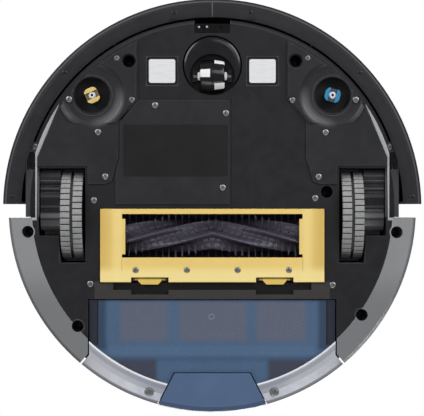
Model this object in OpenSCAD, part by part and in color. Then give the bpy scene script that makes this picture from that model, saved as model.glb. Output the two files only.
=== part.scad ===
// Robot vacuum cleaner, standing on its wheels.
// +Z is up, the bumper faces -Y and the dust bin is at +Y. The origin is on the floor under the centre.

/* [Overall] */
// Diameter over the bumper
overall_d = 310; // [308:1:314]
// Height from the floor to the middle of the top cover
overall_h = 76; // [76:0.5:80]
// Gap between the floor and the chassis plate
ground_gap = 10; // [9.5:0.5:10]
// Height of the deck, where the walls end and the top starts
deck_z = 68; // [68:0.5:70]

/* [Bumper] */
// How far the bumper can be pushed in
bumper_travel = 4; // [3:0.5:4]
// Height of the bumper's lower edge above the floor
bumper_z = 12; // [12:0.5:13]

/* [Drive wheels] */
// Tyre diameter
tyre_d = 66; // [64:1:66]
// Tyre width
tyre_w = 16; // [14:1:16]
// Distance between the outer faces of the two tyres
track_outer = 223; // [222:0.5:223]
// How far a wheel drops when the robot is lifted
wheel_drop_deg = 32; // [20:1:32]

/* [Caster] */
// Caster wheel diameter
caster_d = 24; // [22:1:24]
// Caster wheel width
caster_w = 19; // [16:1:19]

/* [Brushes] */
// Length of the main brush roller
roller_len = 134; // [128:1:134]
// Diameter over the bristle tips
bristle_d = 39; // [36:1:39]
// Diameter of the well around each side brush coupling
side_well_d = 26.6; // [25:0.2:26.6]

/* [Dust bin] */
// Width of the dust bin
bin_w = 181; // [180:1:181]
// Height of the dust bin's top above the floor
bin_top_z = 62; // [60:1:62]

/* [Hidden] */
$fn = 96;

LEFT = -1;   // the -X side
RIGHT = 1;
OVER = 1;    // how far a cutter passes the face it cuts
BIG = 400;   // a size larger than the whole object

// chassis
r_out = overall_d / 2;
z0 = ground_gap;
plate_t = 2.5;
z1 = z0 + plate_t;             // upper face of the chassis plate
wall_t = 2.5;
r_front = r_out - 18.5;        // chassis wall behind the bumper
r_flange = r_front + 4.5;      // inner edge of the bumper's flanges
r_rim = r_out - 22;            // inner edge of the grey rim
r_rim_low = r_out - 7;         // outer edge of the grey rim at its lower face
r_rim_out = r_out - 4;         // outer wall of the grey rim
rim_start_y = 7;               // where the grey rim begins behind the bumper
bin_half_deg = 40.5;           // half of the angle that the bin takes at the back
flat_x = 130;                  // where the chassis plate ends at each side
shelf_z = 14.8;                // lower face of the side shelves
shelf_x = 138;                 // how far the side shelves reach
shelf_y0 = -49;

// bin bay
bay_x = bin_w / 2 + 1;
bay_y = 67;

// drive wheel modules
wheel_y = 5;
wheel_r = tyre_d / 2;
wheel_x1 = track_outer / 2;    // outer face of a tyre
wheel_x0 = wheel_x1 - tyre_w;
pivot_y = -23;
pivot_z = 25;
pivot_r = 4;
well_x0 = wheel_x0 - 2;
well_x1 = flat_x - 1;
well_y0 = -29.7;
well_y1 = 40.5;
gear_well_y1 = 20.5;
gear_x0 = wheel_x1 + 0.8;      // inner face of a wheel gearbox
gear_x1 = well_x1 - 1.3;
axle_barrel_r = 12;
spring_y = 11;                 // the spring that pushes a wheel down
motor_barrel = [-6, 48, 11];   // y, z and radius of a wheel gearbox's motor barrel
well_wall = 1.5;

// caster
caster_y = -105.2;
caster_r = 22.1;
caster_trail = 7.8;
caster_tread = caster_w / 2 - 0.5;     // half of the rolling width
caster_hub = caster_w / 2 + 1.3;       // how far the hub's collars reach
fork_pocket_r = 16.4;
fork_top_z = 29.5;
stem_r = 3;
stem_top_z = 46;

// side brushes
side_x = 88.6;
side_y = -83.2;
side_well_r = side_well_d / 2;
side_well_top = 20;
dish_r = 24;
module_z = z0 - 1.2;           // lower face of a module plate
platform_z = module_z - 1.6;   // lower face of the platform round a side brush

// battery
cell_d = 18;
cell_len = 65;
bay_batt = [-67.5, -72, 72, 65];  // x, y, width and depth of the battery bay
batt_z = 14;

// main brush
brush_y = 20.35;
brush_z = 24;
chamber_r = bristle_d / 2 + 1.5;
chamber_x = 70;
end_wall = 1.5;
core_r = 7.5;
shaft_r = 3;
duct_x = 50;
duct_z0 = 20;
duct_z1 = 38;

// brush guard
guard_x = 82.5;
guard_y0 = 0.5;
guard_y1 = 54.5;
guard_z = z0 - 1.5;
guard_t = 3.6;
mouth_x = 66.5;
mouth_y0 = 4.3;
mouth_y1 = 36.4;
latch_x = 46;
latch_half = 13.8;
tab_half = 8.6;
guard_screw_y = 45.6;

// gear train of the main brush
gear_module = 0.8;
teeth = [23, 26, 17];          // brush gear, idler and motor pinion
gear_x = 74;
gear_w = 6;
motor_z = 58.3;
r_pitch = [for (t = teeth) t * gear_module / 2];
d_low = r_pitch[0] + r_pitch[1];
d_high = r_pitch[1] + r_pitch[2];
rise = motor_z - brush_z;
idler_up = (rise * rise + d_low * d_low - d_high * d_high) / (2 * rise);
idler_off = sqrt(d_low * d_low - idler_up * idler_up);
idler_y = brush_y + idler_off;
idler_z = brush_z + idler_up;

// fan
fan_x = -31;
fan_y = -41;
fan_r = 28;
fan_z0 = 38;
fan_z1 = 58;
air_x0 = -45;
air_x1 = -17;
air_z0 = 51;
air_z1 = 61;

// deep wells of the screws that close the case: x and y
case_wells = [[-61.4, -108.3], [61.4, -108.3], [84.4, -12]];
rim_wells = [[-136, 17.4], [136, 17.8], [-99.3, 87.1], [110.3, 78.8]];
case_well_r = 4.4;
case_boss_r = 5.4;
case_head_z = 30;

// screws in the lower face: x, y and the height of the face that they sit on
module_screws = [[-70.2, -110.4], [-105.4, -80.2], [-59.3, -80], [-84.1, -56], [-78.7, -23.3],
                 [70.3, -110.4], [59.2, -79.6], [105.7, -79.8], [83.5, -55.8], [78.3, -23.1]];
door_screws = [[-42.1, -75.8], [10.1, -70], [7.7, -15.2]];
plate_screws = [[-87.2, -5.8], [-89.9, 55.8], [75.9, -7.4], [88.8, 56.6]];
shelf_screws = [[-131.3, -45.6], [131.3, -45.6]];
screw_head_r = 2.2;
screw_r = 1.3;

// bumper springs and switches
bumper_cup_x = 75;
bumper_cup_y = -sqrt(r_front * r_front - bumper_cup_x * bumper_cup_x);
switch_turn = 48;
flange_screws = [[-28, -144.4], [28, -144.4], [-109, -100], [109, -100], [-147.6, -8.4], [147.6, -8.4]];
window_z = [46, 57];           // the sensor window in the bumper
window_half = 38;

// controls
button_y = -58;
button_r = 13;
switch_deg = 30;
jack_deg = 18;
jack_r = 2.75;

function polar(r, a) = [r * cos(a), r * sin(a)];

// ---- shared shapes

module ring(r1, r0) {
    difference() {
        circle(r1, $fn = 240);
        circle(r0, $fn = 240);
    }
}

module wedge(a0, a1, r = BIG) {
    polygon(concat([[0, 0]], [for (i = [0:6]) polar(r, a0 + (a1 - a0) * i / 6)]));
}

module round_rect(w, d, r) {
    square([w - 2 * r, d], center = true);
    square([w, d - 2 * r], center = true);
    for (x = [-1, 1], y = [-1, 1])
        translate([x * (w / 2 - r), y * (d / 2 - r)]) circle(r, $fn = 32);
}

module slab(z_low, z_high) {
    translate([0, 0, z_low]) linear_extrude(z_high - z_low) children();
}

// a bar along X with its section drawn in Y and Z
module along_x(x_low, x_high) {
    translate([x_low, 0, 0]) rotate([90, 0, 90]) linear_extrude(x_high - x_low) children();
}

module rod_x(x_low, x_high, y, z, r) {
    along_x(x_low, x_high) translate([y, z]) circle(r);
}

module box(x, y, z) {
    translate([x[0], y[0], z[0]]) cube([x[1] - x[0], y[1] - y[0], z[1] - z[0]]);
}

module at_points(points) {
    for (p = points) translate([p[0], p[1], 0]) children();
}

module mirror_x(side) {
    if (side < 0) mirror([1, 0, 0]) children();
    else children();
}

// a round-headed screw with a cross recess, its head's lower face at z
module screw(z, head_r = screw_head_r, shank_r = screw_r, length = 7, head_h = 1.6) {
    difference() {
        union() {
            translate([0, 0, z]) cylinder(h = 0.6, r1 = head_r - 0.5, r2 = head_r, $fn = 32);
            translate([0, 0, z + 0.6]) cylinder(h = head_h - 0.6, r = head_r, $fn = 32);
            translate([0, 0, z + head_h]) cylinder(h = length, r = shank_r, $fn = 32);
        }
        for (a = [0, 90]) rotate(a)
            translate([-head_r * 0.62, -0.35, z - OVER]) cube([head_r * 1.24, 0.7, OVER + 0.9]);
    }
}

// a coil spring along Z, as one swept tube
module coil(r, wire_r, turns, height, steps = 16, sides = 6) {
    count = turns * steps;
    rings = [for (i = [0:count]) let (a = 360 * i / steps, z = height * i / count)
        [for (k = [0:sides - 1]) let (b = 360 * k / sides)
            [(r + wire_r * cos(b)) * cos(a), (r + wire_r * cos(b)) * sin(a), z + wire_r * sin(b)]]];
    points = [for (one = rings) each one];
    walls = [for (i = [0:count - 1], k = [0:sides - 1]) let (n = (k + 1) % sides)
        [i * sides + k, i * sides + n, (i + 1) * sides + n, (i + 1) * sides + k]];
    ends = [[for (k = [sides - 1:-1:0]) k], [for (k = [0:sides - 1]) count * sides + k]];
    polyhedron(points, concat(walls, ends));
}

// the involute of a pressure angle, in degrees
function inv(a) = tan(a) * 180 / PI - a;
// half of a tooth's angle at radius r
function half_tooth(z, r) =
    let (rp = gear_module * z / 2, rb = rp * cos(20), slack = 0.16)
    90 / z - slack / rp * 90 / PI + inv(20) - inv(acos(min(1, rb / r)));

module gear_2d(z, phase) {
    rp = gear_module * z / 2;
    tip = rp + 0.9 * gear_module;
    root = rp - 1.2 * gear_module;
    start = max(root, rp * cos(20));
    flank = [for (i = [0:3]) start + (tip - start) * i / 3];
    polygon([for (t = [0:z - 1]) let (c = phase + 360 * t / z) each concat(
        [polar(root, c - half_tooth(z, start))],
        [for (r = flank) polar(r, c - half_tooth(z, r))],
        [for (i = [3:-1:0]) polar(flank[i], c + half_tooth(z, flank[i]))],
        [polar(root, c + half_tooth(z, start))])]);
}

// the phase of a gear with zb teeth that meshes with one of za teeth and phase pa, towards angle dir
function mesh_phase(za, pa, zb, dir) = dir + 180 - (180 - za * (dir - pa)) / zb;

idler_dir = atan2(idler_up, idler_off);
pinion_dir = atan2(motor_z - idler_z, brush_y - idler_y);
phase_idler = mesh_phase(teeth[0], 0, teeth[1], idler_dir);
phase_pinion = mesh_phase(teeth[1], phase_idler, teeth[2], pinion_dir);

// ---- chassis

// the strip of grey wall that shows beside the chassis plate, on the +X side
module side_strip_2d() {
    difference() {
        intersection() {
            circle(r_front, $fn = 240);
            translate([0, -80]) square([flat_x + 0.4, 80 + rim_start_y + 2]);
        }
        polygon([[0, -90], [113, -90], [113, -76], [120.4, -58], [128.9, -37.5], [129.4, rim_start_y + 3],
            [0, 20]]);
    }
}

module chassis_2d() {
    difference() {
        union() {
            intersection() {
                circle(r_front, $fn = 240);
                translate([-flat_x, -BIG]) square([2 * flat_x, BIG + rim_start_y]);
            }
            intersection() {
                circle(r_rim - 0.2, $fn = 240);
                translate([-BIG, rim_start_y - 0.1]) square([2 * BIG, BIG]);
            }
        }
        bin_bay_2d(0);
        for (s = [LEFT, RIGHT]) mirror_x(s) {
            side_strip_2d();
            translate([129.3, rim_start_y - 3]) square([6, 5.2]);
        }
    }
}

module bin_bay_2d(more) {
    translate([-bay_x - more, bay_y - more]) square([2 * (bay_x + more), BIG]);
}

module wheel_well_2d(more) {
    translate([well_x0 - more, well_y0 - more])
        square([wheel_x1 + 1.3 - well_x0 + 2 * more, well_y1 - well_y0 + 2 * more]);
    translate([wheel_x1 - more, well_y0 - more])
        square([well_x1 - wheel_x1 + 2 * more, gear_well_y1 - well_y0 + 2 * more]);
}

module chassis_walls() {
    difference() {
        union() {
            slab(z1 - 0.01, deck_z) difference() {
                intersection() {
                    circle(r_front, $fn = 240);
                    translate([-BIG, -BIG]) square([2 * BIG, BIG + rim_start_y - 0.5]);
                }
                circle(r_front - wall_t, $fn = 240);
            }
            slab(z1 - 0.01, deck_z) difference() {
                intersection() {
                    circle(r_rim - 0.2, $fn = 240);
                    translate([-BIG, rim_start_y + 2.2]) square([2 * BIG, BIG]);
                }
                circle(r_rim - 0.2 - wall_t, $fn = 240);
                bin_bay_2d(0);
            }
            // bay for the bin
            slab(z1 - 0.01, deck_z) intersection() {
                difference() {
                    bin_bay_2d(2);
                    bin_bay_2d(0);
                }
                circle(r_rim - 0.2, $fn = 240);
            }
        }
        // under the side shelves the wall is open
        for (s = [LEFT, RIGHT]) mirror_x(s)
            box([flat_x - 10, BIG], [shelf_y0 - 1, rim_start_y + 0.5], [0, shelf_z]);
        box([-duct_x, duct_x], [bay_y - 4, bay_y + 1], [duct_z0, duct_z1]);
        box([air_x0, air_x1], [bay_y - 4, bay_y + 1], [air_z0, air_z1]);
    }
}

module side_shelf() {
    box([flat_x - 2, shelf_x], [shelf_y0, rim_start_y - 0.5], [shelf_z, shelf_z + plate_t]);
}

module base_solids() {
    slab(z0, z1) chassis_2d();
    chassis_walls();
    for (s = [LEFT, RIGHT]) mirror_x(s) {
        side_shelf();
        // walls of the wheel well, and the stub that the wheel module swings on
        slab(z1 - 0.01, deck_z) difference() {
            wheel_well_2d(well_wall);
            wheel_well_2d(0);
        }
        rod_x(gear_x0 + 1.7, well_x1 + 0.5, pivot_y, pivot_z, pivot_r);
        // cup of the side brush, with a lip round its mouth
        translate([side_x, side_y, z0]) cylinder(h = side_well_top + 1.5 - z0, r = side_well_r + 1.5);
        translate([side_x, side_y, z0 - 0.6]) cylinder(h = 1, r = side_well_r + 0.9);
    }
    // battery bay and its screw posts
    slab(z1 - 0.01, batt_z + cell_d + 2) difference() {
        translate([bay_batt[0] - 1.5, bay_batt[1] - 1.5]) square([bay_batt[2] + 3, bay_batt[3] + 3]);
        translate([bay_batt[0], bay_batt[1]]) square([bay_batt[2], bay_batt[3]]);
    }
    at_points(door_screws) translate([0, 0, z1 - 0.01]) cylinder(h = 5, r = 3, $fn = 32);
    at_points(concat(module_screws, plate_screws))
        translate([0, 0, z1 - 0.01]) cylinder(h = 4, r = 3, $fn = 32);
    at_points(case_wells) translate([0, 0, z0]) cylinder(h = deck_z - z0, r = case_boss_r, $fn = 48);
    // posts of the circuit board
    at_points(board_posts) translate([0, 0, z1 - 0.01]) cylinder(h = board_z - z1, r = 3, $fn = 32);
    bumper_cups(5.8, bumper_cup_y + 6, 6.4);
    // lip under the bumper gap
    slab(shelf_z + 1, shelf_z + plate_t) intersection() {
        ring(r_front + 3.2, r_front - 1);
        translate([-BIG, -BIG]) square([2 * BIG, BIG + shelf_y0 + 1]);
    }
    // ceiling over the finger recess behind the brush guard
    box([-75, 75], [55.2, 65], [z1 - 0.01, z1 + 2.5]);
}

board_z = 44;
board_posts = [[18, -72], [62, -70], [18, -16], [62, -16]];

module base_housing() {
    color("#26262a") difference() {
        base_solids();
        for (s = [LEFT, RIGHT]) mirror_x(s) {
            slab(z0 - OVER, z1 + 0.5) wheel_well_2d(0);
            translate([side_x, side_y, z0 - OVER]) cylinder(h = side_well_top - z0 + OVER, r = side_well_r);
            translate([side_x, side_y, 0]) cylinder(h = 30, r = 2.6, $fn = 48);
            // seats of the cliff sensors at the sides
            box([131.2, 136.8], [-41.3, -28.7], [shelf_z - OVER, shelf_z + 4.2]);
        }
        // caster, brush guard, battery and finger recess
        translate([0, caster_y, z0 - OVER]) cylinder(h = plate_t + 2 * OVER, r = caster_r);
        box([-guard_x - 0.5, guard_x + 0.5], [guard_y0 - 0.5, guard_y1 + 0.7], [0, z1 + 0.4]);
        box([bay_batt[0], bay_batt[0] + bay_batt[2]], [bay_batt[1], bay_batt[1] + bay_batt[3]], [0, z1 + OVER]);
        box([-73, 73], [guard_y1, 60.4], [0, z1]);
        for (s = [LEFT, RIGHT]) mirror_x(s)
            box([latch_x - latch_half, latch_x + latch_half], [guard_y1, 63.7], [0, z1]);
        // shallow frames round the charging contacts
        for (s = [LEFT, RIGHT])
            translate([s * 37, -101, z0 - OVER]) linear_extrude(OVER + 1) round_rect(23.4, 21.4, 2.6);
        for (s = [LEFT, RIGHT]) translate([s * 37, -101, z0 - OVER]) {
            linear_extrude(OVER + 1.2) round_rect(19.8, 17.8, 1.8);
            linear_extrude(plate_t + 2 * OVER) round_rect(14, 12, 1.8);
        }
        // groove beside the battery door
        box([13.4, 14.2], [-82, -3], [z0 - OVER, z0 + 0.5]);
        // fine grooves in front of the bin's corners
        for (s = [LEFT, RIGHT]) mirror_x(s) box([86.6, 87.2], [59.8, bay_y - 0.8], [z0 - OVER, z0 + 0.4]);
        // seat of the front cliff sensor
        box([-13.3, 13.3], [-BIG, -129], [z0 - OVER, z0 + 12.3]);
        // screw holes
        at_points(case_wells) {
            translate([0, 0, z0 - OVER]) cylinder(h = case_head_z - z0 + OVER, r = case_well_r, $fn = 48);
            translate([0, 0, z0]) cylinder(h = deck_z, r = 1.7, $fn = 32);
        }
        at_points(concat(module_screws, door_screws, plate_screws))
            translate([0, 0, z0 - OVER]) cylinder(h = 11, r = screw_r + 0.1, $fn = 32);
        at_points(shelf_screws) translate([0, 0, shelf_z - OVER]) cylinder(h = 10, r = screw_r + 0.1, $fn = 32);
        at_points(plate_screws)
            translate([0, 0, z0 - OVER]) cylinder(h = OVER + 1.4, r = screw_head_r + 0.3, $fn = 32);
        at_points(shelf_screws)
            translate([0, 0, shelf_z - OVER]) cylinder(h = OVER + 1.2, r = screw_head_r + 0.3, $fn = 32);
        at_points(rim_wells) translate([0, 0, z0 - OVER]) cylinder(h = deck_z, r = case_boss_r + 0.2, $fn = 48);
        bumper_cups(4.4, bumper_cup_y + 4.4, 12);
        for (s = [LEFT, RIGHT]) rotate(-90 + s * switch_turn)
            box([r_front - 8, r_front + 2], [-2.2, 2.2], [37, 39.6]);
    }
}

// round cups in the front wall that hold the bumper springs
module bumper_cups(r, y, h) {
    for (s = [LEFT, RIGHT])
        translate([s * bumper_cup_x, y, 40]) rotate([90, 0, 0]) cylinder(h = h, r = r, $fn = 32);
}

module rim_sector_2d(r1, r0) {
    for (s = [LEFT, RIGHT]) mirror_x(s) intersection() {
        ring(r1, r0);
        wedge(0, 90 - bin_half_deg);
        difference() {
            translate([0, rim_start_y]) square([BIG, BIG]);
            translate([0, 0]) square([bay_x + 0.3, BIG]);
        }
    }
}

module side_frame() {
    color("#8b8c8e") difference() {
        union() {
            slab(z0, z1) rim_sector_2d(r_rim_low, r_rim);
            // outer wall with a chamfered foot
            intersection() {
                rotate_extrude($fn = 240) polygon([[r_rim_low - 3, z0], [r_rim_low, z0], [r_rim_out, z0 + 8],
                    [r_rim_out, deck_z - 3], [r_rim_out - 3, deck_z], [r_flange, deck_z],
                    [r_flange, deck_z - 2], [r_rim_out - 4.5, deck_z - 2], [r_rim_out - 2.5, deck_z - 5],
                    [r_rim_out - 2.5, z0 + 9], [r_rim_low - 3, z0 + 2]]);
                slab(0, deck_z) rim_sector_2d(BIG / 2, r_rim);
            }
            // end walls beside the bumper
            slab(z0, deck_z) for (s = [LEFT, RIGHT]) mirror_x(s) intersection() {
                ring(r_rim_low, r_rim);
                translate([0, rim_start_y]) square([BIG, 2]);
            }
            // top flange, which carries on over the bin
            slab(deck_z - 2, deck_z) intersection() {
                ring(r_rim_out - 3, r_rim);
                translate([-BIG, rim_start_y]) square([2 * BIG, BIG]);
            }
            slab(bin_top_z + 1, deck_z - 1) intersection() {
                ring(r_rim_out - 0.5, r_rim_out - 3);
                wedge(80 - bin_half_deg, 100 + bin_half_deg);
            }
            slab(z0 - 0.2, z1 - 0.1) for (s = [LEFT, RIGHT]) mirror_x(s) side_strip_2d();
            slab(z0, z1) for (s = [LEFT, RIGHT]) mirror_x(s)
                translate([129.4, rim_start_y]) square([5, 2]);
            at_points(rim_wells) translate([0, 0, z0]) cylinder(h = deck_z - z0, r = case_boss_r, $fn = 48);
        }
        at_points(rim_wells) {
            translate([0, 0, z0 - OVER]) cylinder(h = case_head_z - z0 + OVER, r = case_well_r, $fn = 48);
            translate([0, 0, z0]) cylinder(h = deck_z, r = 1.7, $fn = 32);
        }
        rotate(jack_deg) translate([r_rim_out - 12, 0, 36]) rotate([0, 90, 0]) cylinder(h = 20, r = 5.2);
        rotate(switch_deg) box([r_rim_out - 12, r_rim_out + 8], [-7.2, 7.2], [30.4, 41.6]);
    }
    // the two pins that the power switch rocks on
    color("#8b8c8e") rotate(switch_deg) for (s = [LEFT, RIGHT]) mirror([0, s < 0 ? 1 : 0, 0]) {
        box([r_rim_out - 5, r_rim_out - 2], [7.2, 8.8], [33, 39]);
        translate([r_rim_out - 3, 7.3, 36]) rotate([90, 0, 0]) cylinder(h = 2.3, r = 0.85, $fn = 32);
    }
}

// height of the domed top over a radius
function dome_z(r) = overall_h - (overall_h - deck_z - 4) * pow(r / (r_flange - 1), 2);

module top_cover() {
    rim = r_flange - 1;
    steps = 12;
    outer = [for (i = [0:steps]) let (r = rim * (1 - i / steps)) [max(0, r - 1.2), dome_z(r)]];
    inner = [for (i = [steps:-1:1]) let (r = rim * (1 - i / steps)) [max(0, r - 1.2), dome_z(r) - 2]];
    color("#1b1b1f") difference() {
        union() {
            rotate_extrude($fn = 240)
                polygon(concat([[rim - 7, deck_z], [rim, deck_z], [rim, deck_z + 3]], outer, inner,
                    [[rim - 7, deck_z + 2]]));
            for (w = concat(case_wells, rim_wells)) slab(deck_z, dome_z(norm(w)) - 1) intersection() {
                circle(rim, $fn = 240);
                translate(w) circle(4.4, $fn = 48);
            }
            // guide of the start button
            translate([0, button_y, 0]) slab(deck_z, dome_z(-button_y) - OVER) circle(button_r + 2);
        }
        at_points(concat(case_wells, rim_wells)) cylinder(h = deck_z + 1.8, r = 1.7, $fn = 32);
        translate([0, button_y, 0]) {
            slab(deck_z + 2, BIG) circle(button_r + 0.3);
            cylinder(h = BIG, r = 3.4);
        }
    }
}

module start_button() {
    color("#c9cacd") translate([0, button_y, 0]) {
        translate([0, 0, deck_z + 3.4]) cylinder(h = dome_z(-button_y) - deck_z - 3.4, r = button_r);
        translate([0, 0, deck_z - 4]) cylinder(h = 7.5, r = 3);
    }
}

module bumper_switches() {
    color("#3a3a3a") for (s = [LEFT, RIGHT]) rotate(-90 + s * switch_turn) {
        box([r_front - 14, r_front - 3.5], [-6, 6], [36, 44]);
        box([r_front - 4, r_out - 6.7], [-1.5, 1.5], [38, 38.6]);
    }
}

module bumper_springs() {
    color("#b8babd") for (s = [LEFT, RIGHT])
        translate([s * bumper_cup_x, bumper_cup_y + 3.8, 40]) rotate([90, 0, 0]) coil(3.2, 0.5, 5, 19);
}

// ---- module plates, door and electrics

module module_2d() {
    difference() {
        intersection() {
            circle(r_front - 1.4, $fn = 240);
            polygon([[55.2, -140], [55.2, -80.2], [69.2, -64.2], [69.2, -37], [72.8, -25], [74.4, -19.8],
                [79, -17.8], [well_x0 - 1.7, -17.8], [well_x0 - 1.7, well_y0 - 1.2], [128.4, well_y0 - 1.2],
                [128.4, -38], [119.8, -58], [112.6, -75.5], [105, -140]]);
        }
        at_points([[61.4, -108.3]]) circle(case_well_r + 1, $fn = 48);
    }
}

module platform_2d() {
    intersection() {
        circle(r_front - 2.4, $fn = 240);
        union() {
            polygon([[56.2, -140], [56.2, -82.4], [71.5, -62.9], [90, -62.9], [112, -80], [111, -140]]);
            translate([side_x, side_y]) circle(dish_r + 0.6);
        }
        polygon([[50, -140], [50, -62.9], [112, -62.9], [112.4, -76.5], [108, -140]]);
    }
}

module module_plate(side) {
    color("#333337") mirror_x(side) difference() {
        union() {
            slab(module_z, z0) module_2d();
            slab(platform_z, module_z + 0.01) intersection() {
                platform_2d();
                module_2d();
            }
        }
        // the dish round the side brush
        translate([side_x, side_y, 0]) rotate_extrude() polygon([[0, 0], [dish_r + 0.6, 0],
            [dish_r + 0.6, platform_z - 0.01], [dish_r - 0.8, z0 - 1.7], [dish_r - 2.4, z0 - 0.9],
            [dish_r - 4.6, z0 - 0.35], [side_well_r + 1.4, z0 - 0.1], [side_well_r + 1.4, z0 + OVER],
            [0, z0 + OVER]]);
        mirror_x(side) at_points(module_screws) {
            cylinder(h = z0 + OVER, r = screw_r + 0.1, $fn = 32);
            cylinder(h = module_z + 0.5, r = screw_head_r + 0.3, $fn = 32);
        }
    }
}

module battery_door() {
    color("#2c2c30") difference() {
        slab(z0 - 0.9, z0) polygon([[-54.4, -79.6], [12.6, -79.6], [12.6, -3], [-71.2, -3], [-71.2, -26],
            [-68.2, -37], [-68.2, -63.4]]);
        at_points(door_screws) {
            cylinder(h = z0 + OVER, r = screw_r + 0.1, $fn = 32);
            cylinder(h = z0 - 0.4, r = screw_head_r + 0.3, $fn = 32);
        }
    }
}

module door_label() {
    color("#1c1c1f") slab(z0 - 1.1, z0 - 0.9) translate([-27, -42.5]) round_rect(77, 38, 1.5);
}

module battery_cells() {
    color("#2f5fa8") for (i = [0:3])
        translate([bay_batt[0] + cell_d * (i + 0.5), bay_batt[1], batt_z + cell_d / 2]) rotate([-90, 0, 0]) {
            cylinder(h = cell_len - 2, r = cell_d / 2 - 0.05);
            cylinder(h = cell_len - 1, r = 3);
        }
}

module main_board() {
    color("#1f6b3a") difference() {
        box([13, 67], [-77, -11], [board_z, board_z + 1.6]);
        at_points(board_posts) cylinder(h = BIG, r = 1.3, $fn = 32);
    }
    color("#17171a") {
        box([30, 44], [-52, -38], [board_z + 1.6, board_z + 3]);
        box([50, 58], [-60, -46], [board_z + 1.6, board_z + 4]);
        for (x = [24, 36, 48]) translate([x, -24, board_z + 1.6]) cylinder(h = 9, r = 4);
        box([26, 54], [-72, -66], [board_z + 1.6, board_z + 8]);
    }
}

module charging_contacts() {
    color("#e2e2e2") for (s = [LEFT, RIGHT]) translate([s * 37, -101, 0]) {
        slab(z0 - 0.3, z0 + 1.2) round_rect(19.4, 17.4, 1.6);
        box([-2, 2], [-0.4, 0.4], [z0 + 1.2, z0 + 12]);
    }
}

module sensor_cell(w, d, h) {
    difference() {
        translate([-w / 2, -d / 2, 0]) cube([w, d, h]);
        for (x = [-w / 4, w / 4])
            translate([x, 0, -OVER]) cylinder(h = OVER + 3, r = min(w / 6, d / 4), $fn = 32);
    }
}

module cliff_sensors() {
    color("#141416") {
        translate([0, -132.6, z0]) sensor_cell(26, 6.6, 12);
        for (s = [LEFT, RIGHT]) translate([s * 134, -35, shelf_z - 0.4]) rotate(90) sensor_cell(12, 5, 4.4);
    }
}

module caster_socket() {
    color("#202024") translate([0, caster_y, 0]) difference() {
        union() {
            translate([0, 0, z1]) cylinder(h = fork_top_z + 3 - z1, r = caster_r + 1.6);
            translate([0, 0, fork_top_z]) cylinder(h = stem_top_z + 2 - fork_top_z, r = 6.5);
        }
        translate([0, 0, z1 - OVER]) cylinder(h = fork_top_z + 1 - z1 + OVER, r = caster_r);
        translate([0, 0, z1]) cylinder(h = stem_top_z + 0.5 - z1, r = stem_r + 0.06);
    }
}

module brush_motors() {
    // the main brush's motor
    color("#a9abad") difference() {
        rod_x(gear_x - 32, gear_x - 2.2, brush_y, motor_z, 9.2);
        rod_x(gear_x - 6, gear_x, brush_y, motor_z, 1.28);
    }
    // the side brushes' gearboxes and motors
    color("#55565a") for (s = [LEFT, RIGHT]) mirror_x(s) translate([side_x, side_y, 0]) difference() {
        union() {
            slab(side_well_top + 1.6, side_well_top + 12) translate([-5, 6]) round_rect(26, 30, 5);
            translate([-6, 12, side_well_top + 12]) cylinder(h = 24, r = 9.5);
        }
        translate([0, 0, side_well_top]) cylinder(h = 9, r = 2.1, $fn = 48);
    }
}

module side_coupling(side, tint, turn) {
    color(tint) mirror_x(side) translate([side_x, side_y, 0]) difference() {
        union() {
            translate([0, 0, platform_z + 1.4]) linear_extrude(6.6) intersection() {
                rotate(turn) round_rect(11.2, 9.6, 2.6);
                circle(6);
            }
            translate([0, 0, platform_z + 8]) cylinder(h = 2.2, r = 4);
            translate([0, 0, platform_z + 2.8])
                cylinder(h = side_well_top + 5.6 - platform_z, r = 2, $fn = 48);
        }
        rotate(turn) difference() {
            translate([-2.6, -8, platform_z]) cube([5.2, 16, 3]);
            cylinder(h = 30, r = 2, $fn = 48);
        }
        translate([0, 0, platform_z]) cylinder(h = 8.8, r = 1, $fn = 32);
    }
}

module base_screws() {
    color("#b9bbbe") {
        at_points(module_screws) screw(module_z - 1.1, length = 8);
        at_points(door_screws) screw(z0 - 2, length = 8);
        at_points(plate_screws) screw(z0 - 0.2, length = 6);
        at_points(shelf_screws) screw(shelf_z - 0.4, length = 3);
    }
}

module case_screws() {
    color("#6d6e72") at_points(concat(case_wells, rim_wells))
        screw(case_head_z - 2.2, head_r = 3.4, shank_r = 1.55, length = deck_z + 1.6 - case_head_z,
            head_h = 2.2);
}

module dc_jack() {
    color("#1c1c1e") rotate(jack_deg) translate([0, 0, 36]) rotate([0, 90, 0]) difference() {
        union() {
            translate([0, 0, r_rim_out - 13]) cylinder(h = 12.4, r = 5);
            translate([0, 0, r_rim_out + 0.1]) cylinder(h = 0.8, r = 6);
            translate([0, 0, r_rim_out - 1]) cylinder(h = 1.5, r = 5);
        }
        translate([0, 0, r_rim_out - 10]) cylinder(h = 12, r = jack_r);
    }
}

module power_switch() {
    color("#b3202a") rotate(switch_deg) translate([r_rim_out - 3, 0, 36]) {
        difference() {
            rotate([90, 0, 0]) translate([0, 0, -6.8]) linear_extrude(13.6)
                polygon([[-4, -3.6], [3.6, -4.8], [2.9, 0], [3.6, 4.8], [-4, 3.6]]);
            translate([0, -10, 0]) rotate([-90, 0, 0]) cylinder(h = 20, r = 0.9, $fn = 32);
        }
    }
}

// ---- bumper

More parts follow.
